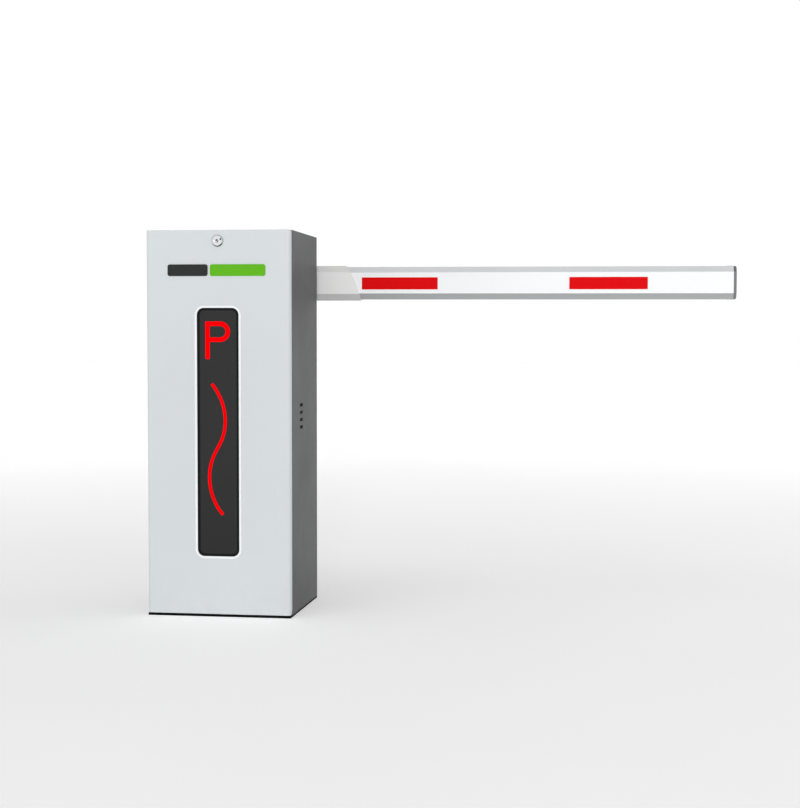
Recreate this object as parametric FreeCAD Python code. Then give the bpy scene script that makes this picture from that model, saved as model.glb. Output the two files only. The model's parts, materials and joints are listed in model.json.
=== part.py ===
import FreeCAD, Part
import math
import os

# Parking barrier gate: a sheet-steel cabinet with a spring-balanced drive and an octagonal boom.
# Millimetres. Origin: centre of the cabinet's base, on the ground. +X along the lowered boom,
# +Y away from the front door, +Z up.

V = FreeCAD.Vector
X_AXIS = V(1, 0, 0)
Y_AXIS = V(0, 1, 0)
Z_AXIS = V(0, 0, 1)

# ---- driving dimensions -------------------------------------------------------------------
WIDTH = 380.0            # cabinet along X
DEPTH = 320.0            # cabinet along Y, door included
HEIGHT = 1000.0
SHEET = 2.0              # housing steel
DOOR_SHEET = 1.5
DOOR_DEPTH = 18.0
BASE_THICK = 5.0
RAIL_WALL = 3.0          # cross rails
SHELF_THICK = 5.0
SHELF_TOP = 430.0
RAIL_TOP = 833.0

SHAFT_Z = 876.0          # main shaft and boom axis
SHAFT_R = 15.0
RING_R = 22.0            # inner ring of a bearing
INSERT_R = 31.0          # its outer ring, clamped in the block
CRANK_Z = 516.0          # gearbox output shaft
OUTPUT_R = 14.0
WORM_R = 7.0             # worm, rotor and hand wheel
WHEEL_TEETH = 40
MODULE = 2.0
SWING = 70.0             # radius of crank and rocker
PIN_R = 8.0              # their pins, and the spring lever's
ROD_TOP_R = 8.6          # bore of the connecting rod's top eye, which has play
KEY_RISE = 3.0           # how far a key stands out of its shaft
RUN_GAP = 0.05           # radial clearance of a running fit
FIT_GAP = 0.02           # radial clearance between parts of one body

SPRING_ARM = 60.0
SPRING_YS = (14.5, 59.5)
EYE_Z = 470.0            # eye bolts that hold the springs
WIRE_R = 2.5
LOOP_R = 12.0            # end loop of a spring
COIL_R = 15.5
COIL_TURNS = 20

BOOM_H = 90.0
BOOM_D = 45.0
BOOM_WALL = 2.0
BOOM_CHAMFER = 16.0
BOOM_ROOT = -70.0
BOOM_END = 1336.0
HOLDER_WALL = 3.0        # sleeve that holds the boom
HOLDER_GAP = 0.2
BOOM_BOLT_R = 5.0

DOOR_Z0, DOOR_Z1 = 7.0, 999.0
HINGE_Z = 20.0
WINDOW_W, WINDOW_Z0, WINDOW_Z1, WINDOW_R = 110.5, 157.5, 799.5, 18.0
LOCK_Z = 971.0
LOCK_R = 7.0             # plug of the lock
VENT_Y, VENT_Z0, VENT_PITCH, VENT_COUNT = -33.6, 487.8, 19.4, 4
ANCHOR_X, ANCHOR_Y, ANCHOR_R = 130.0, 115.0, 7.0

UNIT_Y, BUTTON_Z, BUTTON_R = 76.0, 238.0, 7.0
BUTTONS = {"open": -110.0, "stop": -85.0, "close": -60.0}
BREAKER_FRONT = 60.0
TOGGLE_Y, TOGGLE_Z = 67.0, 147.5
WIRE_Y, WIRE_PITCH, WIRE_COUNT = 104.0, 9.0, 7

# ---- places worked out from them ----------------------------------------------------------
HALF_W = WIDTH / 2
FRONT = -DEPTH / 2
BACK = DEPTH / 2
WALL_IN = HALF_W - SHEET
SHELL_FRONT = FRONT + DOOR_DEPTH + 2.0
SHELL_TOP = HEIGHT - SHEET
ARM_45 = math.cos(math.radians(45))

FRONT_RAIL_Y, REAR_RAIL_Y = FRONT + 85.0, BACK - 42.0
GEAR_Y = FRONT + 80.0
WORM_Z = CRANK_Z - (MODULE * WHEEL_TEETH / 2 + 11.0)
PANEL_Y = BACK - 32.0
HINGE_Y = FRONT + 6.0
PANE_Y = FRONT + DOOR_SHEET
BOARD_Y = FRONT + 20.0
BOX_BACK = FRONT + 32.0
BOOM_Y = BACK + 60.0
HOLDER_FRONT = BOOM_Y - BOOM_D / 2 - HOLDER_GAP - HOLDER_WALL
STOP_Y0, STOP_Y1 = REAR_RAIL_Y - 39.0, REAR_RAIL_Y - 27.0
SENSOR_Z = (SHAFT_Z + 15.0, SHAFT_Z - 15.0)

SPRING_X = -SPRING_ARM * ARM_45
PIN_HIGH = SHAFT_Z + SPRING_ARM * ARM_45
HOOK_HIGH = PIN_HIGH - 60.0
HOOK_LOW = EYE_Z + WIRE_R + 0.1

RAIL_STUDS = [(y + dy, 775.0) for y in (FRONT_RAIL_Y, REAR_RAIL_Y) for dy in (-14.0, 14.0)]
SHELF_STUDS = [(y, SHELF_TOP - 22.0) for y in (-80.0, 80.0)]
PANEL_STUDS = [(x, z) for x in (-140.0, 140.0) for z in (82.0, 378.0)]
FOOT_BOLTS = [(x, y) for x in (-177.0, 177.0) for y in (-70.0, 110.0)]
HINGE_BOLTS = [(x, FRONT + 46.0) for x in (-159.0, 159.0)]
GEARBOX_FEET = [(x, GEAR_Y + dy) for x in (-34.0, 34.0) for dy in (-32.0, 40.0)]
BLOCK_BOLTS = [(x, y) for y in (FRONT_RAIL_Y, REAR_RAIL_Y) for x in (-58.0, 58.0)]
HUB_BOLTS = [(x, SHAFT_Z + dz) for x in (-50.0, 50.0) for dz in (-18.0, 18.0)]
STOP_BOLTS = [(x, 815.0) for x in (-75.0, -58.0, 58.0, 75.0)]
SENSOR_BOLTS = [(x, 812.0) for x in (52.0, 67.0)]
WIRE_XS = [-52.0 + WIRE_PITCH * i for i in range(WIRE_COUNT)]


# ---- helpers ------------------------------------------------------------------------------
def box(x0, x1, y0, y1, z0, z1):
    return Part.makeBox(x1 - x0, y1 - y0, z1 - z0, V(x0, y0, z0))


def rod_x(y, z, r, x0, x1):
    return Part.makeCylinder(r, x1 - x0, V(x0, y, z), X_AXIS)


def rod_y(x, z, r, y0, y1):
    return Part.makeCylinder(r, y1 - y0, V(x, y0, z), Y_AXIS)


def rod_z(x, y, r, z0, z1):
    return Part.makeCylinder(r, z1 - z0, V(x, y, z0), Z_AXIS)


def fuse(first, *others):
    return first.multiFuse(list(others)).removeSplitter() if others else first


def cut(body, *tools):
    return body.cut(Part.makeCompound(list(tools)))


def extrude(points, direction):
    face = Part.Face(Part.makePolygon(points + [points[0]]))
    return face.extrude(direction)


def prism_xz(points, y0, y1):
    return extrude([V(x, y0, z) for x, z in points], V(0, y1 - y0, 0))


def prism_yz(points, x0, x1):
    return extrude([V(x0, y, z) for y, z in points], V(x1 - x0, 0, 0))


def rounded_edges(shape, radius, wanted):
    """Round the straight edges for which wanted(middle point, direction) is true."""
    edges = []
    for edge in shape.Edges:
        if not isinstance(edge.Curve, Part.Line):
            continue
        middle = edge.valueAt((edge.FirstParameter + edge.LastParameter) / 2)
        if wanted(middle, edge.tangentAt(edge.FirstParameter)):
            edges.append(edge)
    return shape.makeFillet(radius, edges)


def rounded_block(x0, x1, y0, y1, z0, z1, radius, along):
    """A box whose four edges along one axis ('x', 'y' or 'z') are rounded."""
    index = "xyz".index(along)
    return rounded_edges(box(x0, x1, y0, y1, z0, z1), radius, lambda _, way: abs(way[index]) > 0.9)


def rear_corners(shape, radius):
    return rounded_edges(shape, radius, lambda p, way: abs(way.z) > 0.9 and p.y > 0)


def octagon(height, depth, chamfer, x0, x1, y=BOOM_Y, z=SHAFT_Z):
    """A flattened octagonal bar along X: a box with its four long edges cut at 45 degrees."""
    h, d = height / 2, depth / 2
    outline = [(d - chamfer, -h), (d, -h + chamfer), (d, h - chamfer), (d - chamfer, h)]
    outline += [(-a, -b) for a, b in outline]
    return prism_yz([(y + a, z + b) for a, b in outline], x0, x1)


def arm(x, z, angle, length, half_width, y0, y1):
    """A flat arm with a round tip, from (x, z) at an angle measured from +X towards +Z."""
    bar = box(0, length, y0, y1, -half_width, half_width)
    bar = bar.fuse(rod_y(length, 0, half_width, y0, y1))
    bar.rotate(V(0, 0, 0), -Y_AXIS, angle)
    bar.translate(V(x, 0, z))
    return bar


def polar(x, z, angle, length):
    turn = math.radians(angle)
    return x + length * math.cos(turn), z + length * math.sin(turn)


def hexagon(across, start, direction, length):
    """A hexagonal nut or bolt head; across is the size over its flats."""
    radius = across / math.sqrt(3)
    corners = [V(radius * math.cos(i * math.pi / 3), radius * math.sin(i * math.pi / 3), 0) for i in range(6)]
    solid = extrude(corners, V(0, 0, length))
    solid.Placement = FreeCAD.Placement(start, FreeCAD.Rotation(Z_AXIS, direction))
    return solid


def bolt(start, direction, radius, length):
    """A hexagon bolt: its head stands behind start, and its shank runs along direction."""
    shank = Part.makeCylinder(radius, length, start, direction)
    head_high = radius * 1.3
    return fuse(shank, hexagon(radius * 3.3, start - direction * head_high, direction, head_high))


def nut(start, direction, radius, high=None):
    high = high or radius * 1.6
    return hexagon(radius * 3.3, start, direction, high).cut(
        Part.makeCylinder(radius + FIT_GAP, high + 2, start - direction, direction))


def group(*solids):
    return Part.makeCompound(list(solids))


def mirrored_pair(solid):
    return group(solid, solid.mirror(V(0, 0, 0), X_AXIS))


def holes_y(places, radius, y0, y1):
    return [rod_y(x, z, radius, y0, y1) for x, z in places]


def holes_z(places, radius, z0, z1):
    return [rod_z(x, y, radius, z0, z1) for x, y in places]


def key(z, shaft_r, width, y0, y1):
    """A key on top of a shaft along Y."""
    return box(-width / 2, width / 2, y0, y1, z + shaft_r - 4, z + shaft_r + KEY_RISE)


def keyed_bore(z, shaft_r, width, y0, y1):
    """The tools that cut a hub's bore and its key seat."""
    half = width / 2 + 0.1
    seat = box(-half, half, y0, y1, z, z + shaft_r + KEY_RISE + 0.2)
    return [rod_y(0, z, shaft_r + FIT_GAP, y0, y1), seat]


# ---- cabinet ------------------------------------------------------------------------------
def base_plate():
    plate = rounded_block(-HALF_W, HALF_W, FRONT, BACK, 0, BASE_THICK, 4, "z")
    entry = rounded_block(-90, 90, -50, 70, -1, BASE_THICK + 1, 14, "z")
    corners = [(x, y) for x in (-ANCHOR_X, ANCHOR_X) for y in (-ANCHOR_Y, ANCHOR_Y)]
    anchors = holes_z(corners, ANCHOR_R, -1, 9)
    threads = holes_z(FOOT_BOLTS + HINGE_BOLTS, 3 + FIT_GAP, -1, 9)
    return cut(plate, entry, *anchors, *threads)


def housing_shell():
    outer = box(-HALF_W, HALF_W, SHELL_FRONT, BACK, BASE_THICK, SHELL_TOP)
    inner = box(-WALL_IN, WALL_IN, SHELL_FRONT - 1, BACK - SHEET, BASE_THICK - 1, SHELL_TOP + 1)
    shell = rear_corners(outer, 4).cut(rear_corners(inner, 2))
    lip = box(WALL_IN - 16.5, WALL_IN + 0.5, SHELL_FRONT, SHELL_FRONT + SHEET, DOOR_Z0, SHELL_TOP)
    foot = box(-WALL_IN, WALL_IN, -100, BACK - SHEET, BASE_THICK, BASE_THICK + SHEET)
    foot = foot.cut(box(-WALL_IN + 26, WALL_IN - 26, -101, BACK - SHEET - 26, 0, 20))
    foot = cut(foot, *holes_z(FOOT_BOLTS, 3.3, 0, 20))
    studs = [rod_x(y, z, 4, -WALL_IN - 0.5, -WALL_IN + 18) for y, z in RAIL_STUDS + SHELF_STUDS]
    studs += [rod_x(y, z, 4, WALL_IN - 18, WALL_IN + 0.5) for y, z in RAIL_STUDS + SHELF_STUDS]
    studs += [rod_y(x, z, 3, PANEL_Y - 8, BACK - 1) for x, z in PANEL_STUDS]
    studs += [rod_y(x, z, 6, PANEL_Y + 2, BACK - 1) for x, z in PANEL_STUDS]
    shell = fuse(shell, foot, lip, lip.mirror(V(0, 0, 0), X_AXIS), *studs)
    vents = []
    for i in range(VENT_COUNT):
        z = VENT_Z0 + i * VENT_PITCH
        for x in (-HALF_W, HALF_W):
            vents.append(rounded_block(x - 8, x + 8, VENT_Y - 17, VENT_Y + 17, z - 4.2, z + 4.2, 3, "x"))
    shaft_hole = rod_y(0, SHAFT_Z, 24, BACK - 20, BACK + 20)
    return cut(shell, shaft_hole, *vents)


def top_cover():
    plate = rear_corners(box(-HALF_W, HALF_W, SHELL_FRONT, BACK, SHELL_TOP, HEIGHT), 4)
    plate = plate.makeFillet(1.2, [e for e in plate.Edges if abs(e.CenterOfMass.z - HEIGHT) < 0.01])
    side, rear, low = WALL_IN - 0.4, BACK - SHEET - 0.4, 972
    skirt = rear_corners(box(-side, side, SHELL_FRONT + 5, rear, low, SHELL_TOP), 2.5)
    skirt = skirt.cut(box(-side + SHEET, side - SHEET, SHELL_FRONT, rear - SHEET, low - 1, SHELL_TOP))
    strike = box(-170, 170, SHELL_FRONT, SHELL_FRONT + SHEET, 986.5, SHELL_TOP)
    return fuse(plate, skirt, strike)


def door_hinge_brackets():
    parts = []
    for s in (-1, 1):
        boss = rod_x(HINGE_Y, HINGE_Z, 4, 165, 169)
        bar_form = [(HINGE_Y, 16.5), (-140, 16.5), (-133, 5), (-127, 5), (-127, 23.5), (HINGE_Y, 23.5)]
        bar = prism_yz(bar_form, 165, 169)
        pin = rod_x(HINGE_Y, HINGE_Z, 2.5, 159, 165)
        foot = box(150, 169, -133, -103, BASE_THICK, BASE_THICK + 3)
        bracket = fuse(boss, bar, pin, foot)
        bracket = bracket.cut(rod_z(159, -114, 3.2, 0, 20))
        parts.append(bracket if s > 0 else bracket.mirror(V(0, 0, 0), X_AXIS))
    return group(*parts)


def door_seal():
    side = [box(s * 180 - 6, s * 180 + 6, SHELL_FRONT - 1.9, SHELL_FRONT, 40, 984) for s in (-1, 1)]
    return group(*side, box(-166, 166, SHELL_FRONT - 1.9, SHELL_FRONT, 988, 996))


def cross_rail(y):
    """A C-channel between the side walls, open below, with a bolted end plate at each side."""
    rail = box(-WALL_IN, WALL_IN, y - 25, y + 25, RAIL_TOP - 40, RAIL_TOP)
    half_in, end_in = 25 - RAIL_WALL, WALL_IN - 4
    rail = rail.cut(box(-end_in, end_in, y - half_in, y + half_in, RAIL_TOP - 41, RAIL_TOP - RAIL_WALL))
    rail = rounded_edges(rail, 2, lambda p, way: abs(way.x) > 0.9 and p.z > RAIL_TOP - 0.1)
    end = box(end_in, WALL_IN, y - 25, y + 25, 758, RAIL_TOP - 40)
    holes = holes_z(BLOCK_BOLTS, 6.3, RAIL_TOP - 10, RAIL_TOP + 5)
    holes += [rod_x(sy, z, 4.3, -HALF_W, HALF_W) for sy, z in RAIL_STUDS if abs(sy - y) < 25]
    return cut(fuse(rail, end, end.mirror(V(0, 0, 0), X_AXIS)), *holes)


def front_cross_rail():
    y = FRONT_RAIL_Y
    return cut(cross_rail(y), *holes_y(SENSOR_BOLTS, 2.6, y - 30, y - 15))


def rear_cross_rail():
    y = REAR_RAIL_Y
    return cut(cross_rail(y), *holes_y(STOP_BOLTS, 3.3, y - 30, y - 15))


def bearing_block(y):
    """A pillow block: foot with two bolt holes, ring and two webs."""
    foot = rounded_block(-80, 80, y - 19, y + 19, RAIL_TOP, RAIL_TOP + 14, 8, "z")
    ring = rod_y(0, SHAFT_Z, 41, y - 16, y + 16)
    webs = prism_xz([(-44, RAIL_TOP + 14), (44, RAIL_TOP + 14), (38, SHAFT_Z), (-38, SHAFT_Z)], y - 9, y + 9)
    block = fuse(foot, ring, webs)
    nipple = fuse(rod_z(0, y, 4, SHAFT_Z + 40, SHAFT_Z + 45), rod_z(0, y, 2.5, SHAFT_Z + 45, SHAFT_Z + 49))
    block = fuse(block, nipple)
    return cut(block, rod_y(0, SHAFT_Z, INSERT_R, y - 30, y + 30), *holes_z(BLOCK_BOLTS, 6.3, 820, 860))


def bearing_inserts():
    rings = []
    for y in (FRONT_RAIL_Y, REAR_RAIL_Y):
        ring = rod_y(0, SHAFT_Z, INSERT_R - FIT_GAP, y - 13, y + 13)
        rings.append(ring.cut(rod_y(0, SHAFT_Z, RING_R + RUN_GAP, y - 14, y + 14)))
    return group(*rings)


def mounting_shelf():
    side = WALL_IN - 0.5
    shelf = box(-side, side, -121, 122, SHELF_TOP - SHELF_THICK, SHELF_TOP)
    flange = box(side - 4, side, -100, 100, 394, SHELF_TOP - SHELF_THICK)
    shelf = fuse(shelf, flange, flange.mirror(V(0, 0, 0), X_AXIS))
    holes = holes_z(GEARBOX_FEET + [(SPRING_X, y) for y in SPRING_YS], 4.3, 400, 450)
    holes += [rod_x(y, z, 4.3, -HALF_W, HALF_W) for y, z in SHELF_STUDS]
    holes.append(rounded_block(108, 132, 92, 130, 400, 450, 10, "z"))
    return cut(shelf, *holes)


# ---- drive: gearbox, motor, crank ---------------------------------------------------------
COVER_BOLTS = [polar(0, CRANK_Z, 45 + 90 * i, 51) for i in range(4)]


def gearbox_casing():
    casing = rounded_block(-60, 60, -104, -48, SHELF_TOP, 572, 12, "y")
    feet = rounded_block(-45, 45, -120, -32, SHELF_TOP, SHELF_TOP + 8, 6, "z")
    ribs = [box(-65, -59, y - 2, y + 2, 445, 560) for y in (-96, -76, -56)]
    boss = rod_y(0, CRANK_Z, 30, -48, -44)
    lifting = rod_y(0, 572, 10, -82, -70)
    casing = fuse(casing, feet, boss, lifting, *ribs)
    wheel_room = rod_y(0, CRANK_Z, 46, -105, -66)
    worm_room = rod_x(GEAR_Y, WORM_Z, 15, -48, 48)
    shaft_bore = rod_y(0, CRANK_Z, OUTPUT_R + RUN_GAP, -70, -40)
    worm_bore = rod_x(GEAR_Y, WORM_Z, WORM_R + RUN_GAP, -80, 80)
    screws = holes_z(GEARBOX_FEET, 4.3, 420, 445)
    eye = rod_y(0, 575, 4, -90, -60)
    threads = holes_y(COVER_BOLTS, 2.5 + FIT_GAP, -105, -92)
    return cut(casing, wheel_room, worm_room, shaft_bore, worm_bore, eye, *screws, *threads)


def gearbox_cover():
    disc = rod_y(0, CRANK_Z, 56, -111, -104)
    spigot = rod_y(0, CRANK_Z, 46 - FIT_GAP, -104, -98)
    cap = rod_y(0, CRANK_Z, 20, -115, -111)
    cover = fuse(disc, spigot, cap)
    blind_bore = rod_y(0, CRANK_Z, 10 + RUN_GAP, -110, -90)
    return cut(cover, blind_bore, *holes_y(COVER_BOLTS, 2.8, -120, -97))


def motor_casing():
    """Finned motor body on a square flange, with a terminal box on top and a cable gland."""
    flange = rounded_block(60, 68, GEAR_Y - 34, GEAR_Y + 34, SHELF_TOP + 1, SHELF_TOP + 69, 6, "x")
    body = rod_x(GEAR_Y, WORM_Z, 29, 68, 158)
    end_bell = rod_x(GEAR_Y, WORM_Z, 31, 158, 170)
    fins = []
    for i in range(18):
        fin = box(72, 156, -1, 1, 28, 32)
        fin.rotate(V(0, 0, 0), X_AXIS, 20 * i)
        fin.translate(V(0, GEAR_Y, WORM_Z))
        fins.append(fin)
    terminal_box = rounded_block(90, 136, GEAR_Y - 20, GEAR_Y + 20, WORM_Z + 26, WORM_Z + 50, 4, "z")
    gland = rod_y(113, WORM_Z + 39, 9, GEAR_Y + 20, GEAR_Y + 32)
    motor = fuse(flange, body, end_bell, terminal_box, gland, *fins)
    rotor_room = rod_x(GEAR_Y, WORM_Z, 24, 74, 152)
    bore = rod_x(GEAR_Y, WORM_Z, WORM_R + RUN_GAP, 50, 162)
    cable_bore = rod_y(113, WORM_Z + 39, 4, GEAR_Y + 10, GEAR_Y + 40)
    return cut(motor, rotor_room, bore, cable_bore)


def worm_shaft():
    """Rotor, shaft and single-start worm in one piece; at rest a wheel tooth stands between two turns."""
    shaft = rod_x(GEAR_Y, WORM_Z, WORM_R, -104, 158)
    core = rod_x(GEAR_Y, WORM_Z, 8.5, -44, 44)
    rotor = rod_x(GEAR_Y, WORM_Z, 22, 80, 146)
    pitch = math.pi * MODULE
    turns = 5
    root, crest = 8.0, 12.4
    helix = Part.makeHelix(pitch, pitch * turns, root)
    tooth = [V(root, 0, -1.2), V(crest, 0, -0.5), V(crest, 0, 0.5), V(root, 0, 1.2), V(root, 0, -1.2)]
    thread = Part.Wire(helix).makePipeShell([Part.makePolygon(tooth)], True, True)
    thread.translate(V(0, 0, -pitch * turns / 2))
    thread.rotate(V(0, 0, 0), Y_AXIS, 90)
    thread.rotate(V(0, 0, 0), X_AXIS, 180)
    thread.translate(V(0, GEAR_Y, WORM_Z))
    return fuse(shaft, core, rotor, thread)


def worm_wheel():
    """Bronze wheel with 40 tapered teeth; the teeth are thin enough to run free of the worm."""
    tip, root = 41.4, 37.2
    points = []
    for i in range(WHEEL_TEETH):
        middle = 360.0 / WHEEL_TEETH * i
        for angle, radius in ((-1.9, root), (-1.0, tip), (1.0, tip), (1.9, root)):
            points.append(polar(0, CRANK_Z, middle + angle, radius))
    wheel = prism_xz(points, GEAR_Y - 6, GEAR_Y + 6)
    hub = rod_y(0, CRANK_Z, 22, GEAR_Y - 12, GEAR_Y + 12)
    wheel = fuse(wheel, hub)
    return cut(wheel, *keyed_bore(CRANK_Z, OUTPUT_R, 6, GEAR_Y - 20, GEAR_Y + 20))


def output_shaft():
    shaft = rod_y(0, CRANK_Z, OUTPUT_R, -97, -25)
    stub = rod_y(0, CRANK_Z, 10, -109, -97)
    keys = [key(CRANK_Z, OUTPUT_R, 6, y0, y1) for y0, y1 in ((-88, -72), (-41, -27))]
    return fuse(shaft, stub, *keys)


def pin_arm(z, shaft_r, key_width):
    """A keyed hub with an arm at 45 degrees below +X, and a headed pin towards +Y."""
    pin_x, pin_z = polar(0, z, -45, SWING)
    hub = rod_y(0, z, 28, -42, -24)
    pin = rod_y(pin_x, pin_z, PIN_R, -30, -3)
    head = rod_y(pin_x, pin_z, PIN_R + 3, -5, -2)
    body = fuse(hub, arm(0, z, -45, SWING, 17, -42, -28), pin, head)
    return cut(body, *keyed_bore(z, shaft_r, key_width, -50, -20))


def crank_arm():
    return pin_arm(CRANK_Z, OUTPUT_R, 6)


def rocker_arm():
    return pin_arm(SHAFT_Z, SHAFT_R, 8)


def connecting_rod():
    """Two rod ends on a hexagonal turnbuckle."""
    x, low = polar(0, CRANK_Z, -45, SWING)
    high = low + SHAFT_Z - CRANK_Z
    eyes = [rod_y(x, z, 17, -22, -8) for z in (low, high)]
    shank = rod_z(x, -15, 7, low + 10, high - 10)
    barrel = hexagon(24, V(x, -15, low + 60), Z_AXIS, high - low - 120)
    lock_nuts = [hexagon(24, V(x, -15, z), Z_AXIS, 7) for z in (low + 50, high - 57)]
    low_neck = Part.makeCone(12, 8, 18, V(x, -15, low + 12), Z_AXIS)
    high_neck = Part.makeCone(8, 12, 18, V(x, -15, high - 30), Z_AXIS)
    rod = fuse(shank, barrel, low_neck, high_neck, *eyes, *lock_nuts)
    return cut(rod, rod_y(x, low, PIN_R + RUN_GAP, -40, 0), rod_y(x, high, ROD_TOP_R, -40, 0))


def handwheel():
    """Five-spoke wheel for turning the motor by hand, with a crank knob."""
    rim_r, x = 26, -92
    rim = Part.makeTorus(rim_r, 4.5, V(x, GEAR_Y, WORM_Z), X_AXIS)
    hub = rod_x(GEAR_Y, WORM_Z, 13, x - 8, x + 8)
    spokes = []
    for i in range(5):
        spoke = Part.makeCylinder(3, rim_r, V(x, 0, 0), Z_AXIS)
        spoke.rotate(V(0, 0, 0), X_AXIS, 72 * i)
        spoke.translate(V(0, GEAR_Y, WORM_Z))
        spokes.append(spoke)
    knob_z = WORM_Z + rim_r
    knob = fuse(rod_x(GEAR_Y, knob_z, 2.5, x - 20, x), rod_x(GEAR_Y, knob_z, 6, x - 36, x - 12))
    return cut(fuse(rim, hub, knob, *spokes), rod_x(GEAR_Y, WORM_Z, WORM_R + FIT_GAP, x - 18, x + 12))


# ---- main shaft, levers, springs ----------------------------------------------------------
def main_shaft():
    shaft = rod_y(0, SHAFT_Z, SHAFT_R, FRONT + 46, BACK + 32)
    key_spans = ((-41, -25), (29, 45), (STOP_Y0 + 1, STOP_Y1 - 1), (BACK + 8, BACK + 30))
    return fuse(shaft, *[key(SHAFT_Z, SHAFT_R, 8, y0, y1) for y0, y1 in key_spans])


def bearing_inner_rings():
    rings = []
    for y in (FRONT_RAIL_Y, REAR_RAIL_Y):
        ring = fuse(rod_y(0, SHAFT_Z, RING_R, y - 13, y + 13), rod_y(0, SHAFT_Z, RING_R - 2, y + 13, y + 19))
        rings.append(ring.cut(rod_y(0, SHAFT_Z, SHAFT_R + FIT_GAP, y - 20, y + 20)))
    return group(*rings)


def spring_lever():
    pin_x, pin_z = polar(0, SHAFT_Z, 135, SPRING_ARM)
    hub = rod_y(0, SHAFT_Z, 28, 28, 46)
    pin = rod_y(pin_x, pin_z, PIN_R, 19, 55)
    body = fuse(hub, arm(0, SHAFT_Z, 135, SPRING_ARM, 15, 31, 43), pin)
    return cut(body, *keyed_bore(SHAFT_Z, SHAFT_R, 8, 20, 50))


def spring_hanger():
    """Two cheeks on the lever's pin, joined below by a flat bar with an eye for each spring."""
    cheeks = []
    for y0, y1 in ((21.5, 28), (46.5, 53)):
        cheek = fuse(rod_y(SPRING_X, PIN_HIGH, 14, y0, y1),
                     box(SPRING_X - 9, SPRING_X + 9, y0, y1, HOOK_HIGH - 8, PIN_HIGH))
        cheeks.append(cheek)
    bar = rounded_block(SPRING_X - 4, SPRING_X + 4, 2, 72, HOOK_HIGH - 8, HOOK_HIGH + 12, 6, "x")
    hanger = fuse(bar, *cheeks)
    eyes = [rod_x(y, HOOK_HIGH, 5, SPRING_X - 20, SPRING_X + 20) for y in SPRING_YS]
    return cut(hanger, rod_y(SPRING_X, PIN_HIGH, PIN_R + RUN_GAP, 10, 70), *eyes)


def half_turn(z, pitch, side):
    """Half a coil that rises by half the pitch, from x = side * COIL_R to the other side."""
    tilt = math.degrees(math.atan2(pitch / 2, 2 * COIL_R)) * side
    ring = Part.makeTorus(math.hypot(COIL_R, pitch / 4), WIRE_R, V(0, 0, 0), Z_AXIS, -180, 180, 180)
    ring.rotate(V(0, 0, 0), Z_AXIS, 90 - 90 * side)
    ring.rotate(V(0, 0, 0), Y_AXIS, tilt)
    ring.translate(V(0, 0, z + pitch / 4))
    return ring


def spring_hook(z, side):
    """A full loop and the bar that leads from it to the coil's end; side is +1 at the top."""
    loop = Part.makeTorus(LOOP_R, WIRE_R, V(0, 0, 0), Y_AXIS)
    loop.rotate(V(0, 0, 0), Y_AXIS, 50)
    loop.translate(V(0, 0, -LOOP_R))
    hook = fuse(loop, rod_x(0, 0, WIRE_R, 0, COIL_R), Part.makeSphere(WIRE_R, V(COIL_R, 0, 0)))
    if side > 0:
        hook.rotate(V(0, 0, 0), X_AXIS, 180)
    hook.translate(V(0, 0, z))
    return hook


def counterbalance_spring(y):
    """A tension spring: a stretched body of tilted half coils between two hooks."""
    low = HOOK_LOW + 2 * LOOP_R
    high = HOOK_HIGH - 2 * LOOP_R
    coil_low = low + 2 * WIRE_R + FIT_GAP
    pitch = (high - low - 2 * (coil_low - low)) / COIL_TURNS
    halves = [half_turn(coil_low + i * pitch / 2, pitch, 1 - 2 * (i % 2)) for i in range(2 * COIL_TURNS)]
    body = halves[0].multiFuse(halves[1:])
    spring = group(body, spring_hook(low, -1), spring_hook(high, 1))
    spring.translate(V(SPRING_X, y, 0))
    return spring


def counterbalance_springs():
    return group(*[counterbalance_spring(y) for y in SPRING_YS])


def spring_eye_bolts():
    parts = []
    for y in SPRING_YS:
        eye = Part.makeTorus(9, 3.5, V(SPRING_X, y, EYE_Z), X_AXIS)
        shank = rod_z(SPRING_X, y, 4, 396, EYE_Z - 9)
        parts.append(fuse(eye, shank))
        parts.append(nut(V(SPRING_X, y, SHELF_TOP), Z_AXIS, 4))
        parts.append(nut(V(SPRING_X, y, SHELF_TOP - SHELF_THICK), -Z_AXIS, 4))
        parts.append(nut(V(SPRING_X, y, SHELF_TOP - SHELF_THICK - 7), -Z_AXIS, 4))
    return group(*parts)


def stop_arm():
    body = fuse(rod_y(0, SHAFT_Z, 26, STOP_Y0, STOP_Y1), arm(0, SHAFT_Z, -135, 44, 10, STOP_Y0, STOP_Y1))
    return cut(body, *keyed_bore(SHAFT_Z, SHAFT_R, 8, STOP_Y0 - 9, STOP_Y1 + 9))


def buffer_point(out):
    """A point on the left buffer's axis, out millimetres from the stop arm's side face."""
    x, z = polar(0, SHAFT_Z, -135, 38)
    return V(x - (10.3 + out) * ARM_45, (STOP_Y0 + STOP_Y1) / 2, z + (10.3 + out) * ARM_45)


def rubber_buffers():
    way = V(-ARM_45, 0, ARM_45)
    pad = Part.makeCylinder(8, 11, buffer_point(0), way)
    collar = Part.makeCylinder(9, 2, buffer_point(9), way)
    return mirrored_pair(fuse(pad, collar))


def stop_brackets():
    seat = buffer_point(11)
    low = (seat.x - 9, seat.z - 9)
    high = (seat.x + 9, seat.z + 9)
    knee = [(high[0] - 9, high[1] + 4), (-66, SHAFT_Z - 8), (-76, RAIL_TOP), (-56, RAIL_TOP)]
    cheek = prism_xz([low, high] + knee, STOP_Y0, STOP_Y1)
    plate = box(-84, -50, STOP_Y1 - 4, REAR_RAIL_Y - 25, 797, RAIL_TOP + 1)
    return mirrored_pair(cut(fuse(cheek, plate), *holes_y(STOP_BOLTS, 3.3, 70, 100)))


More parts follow.
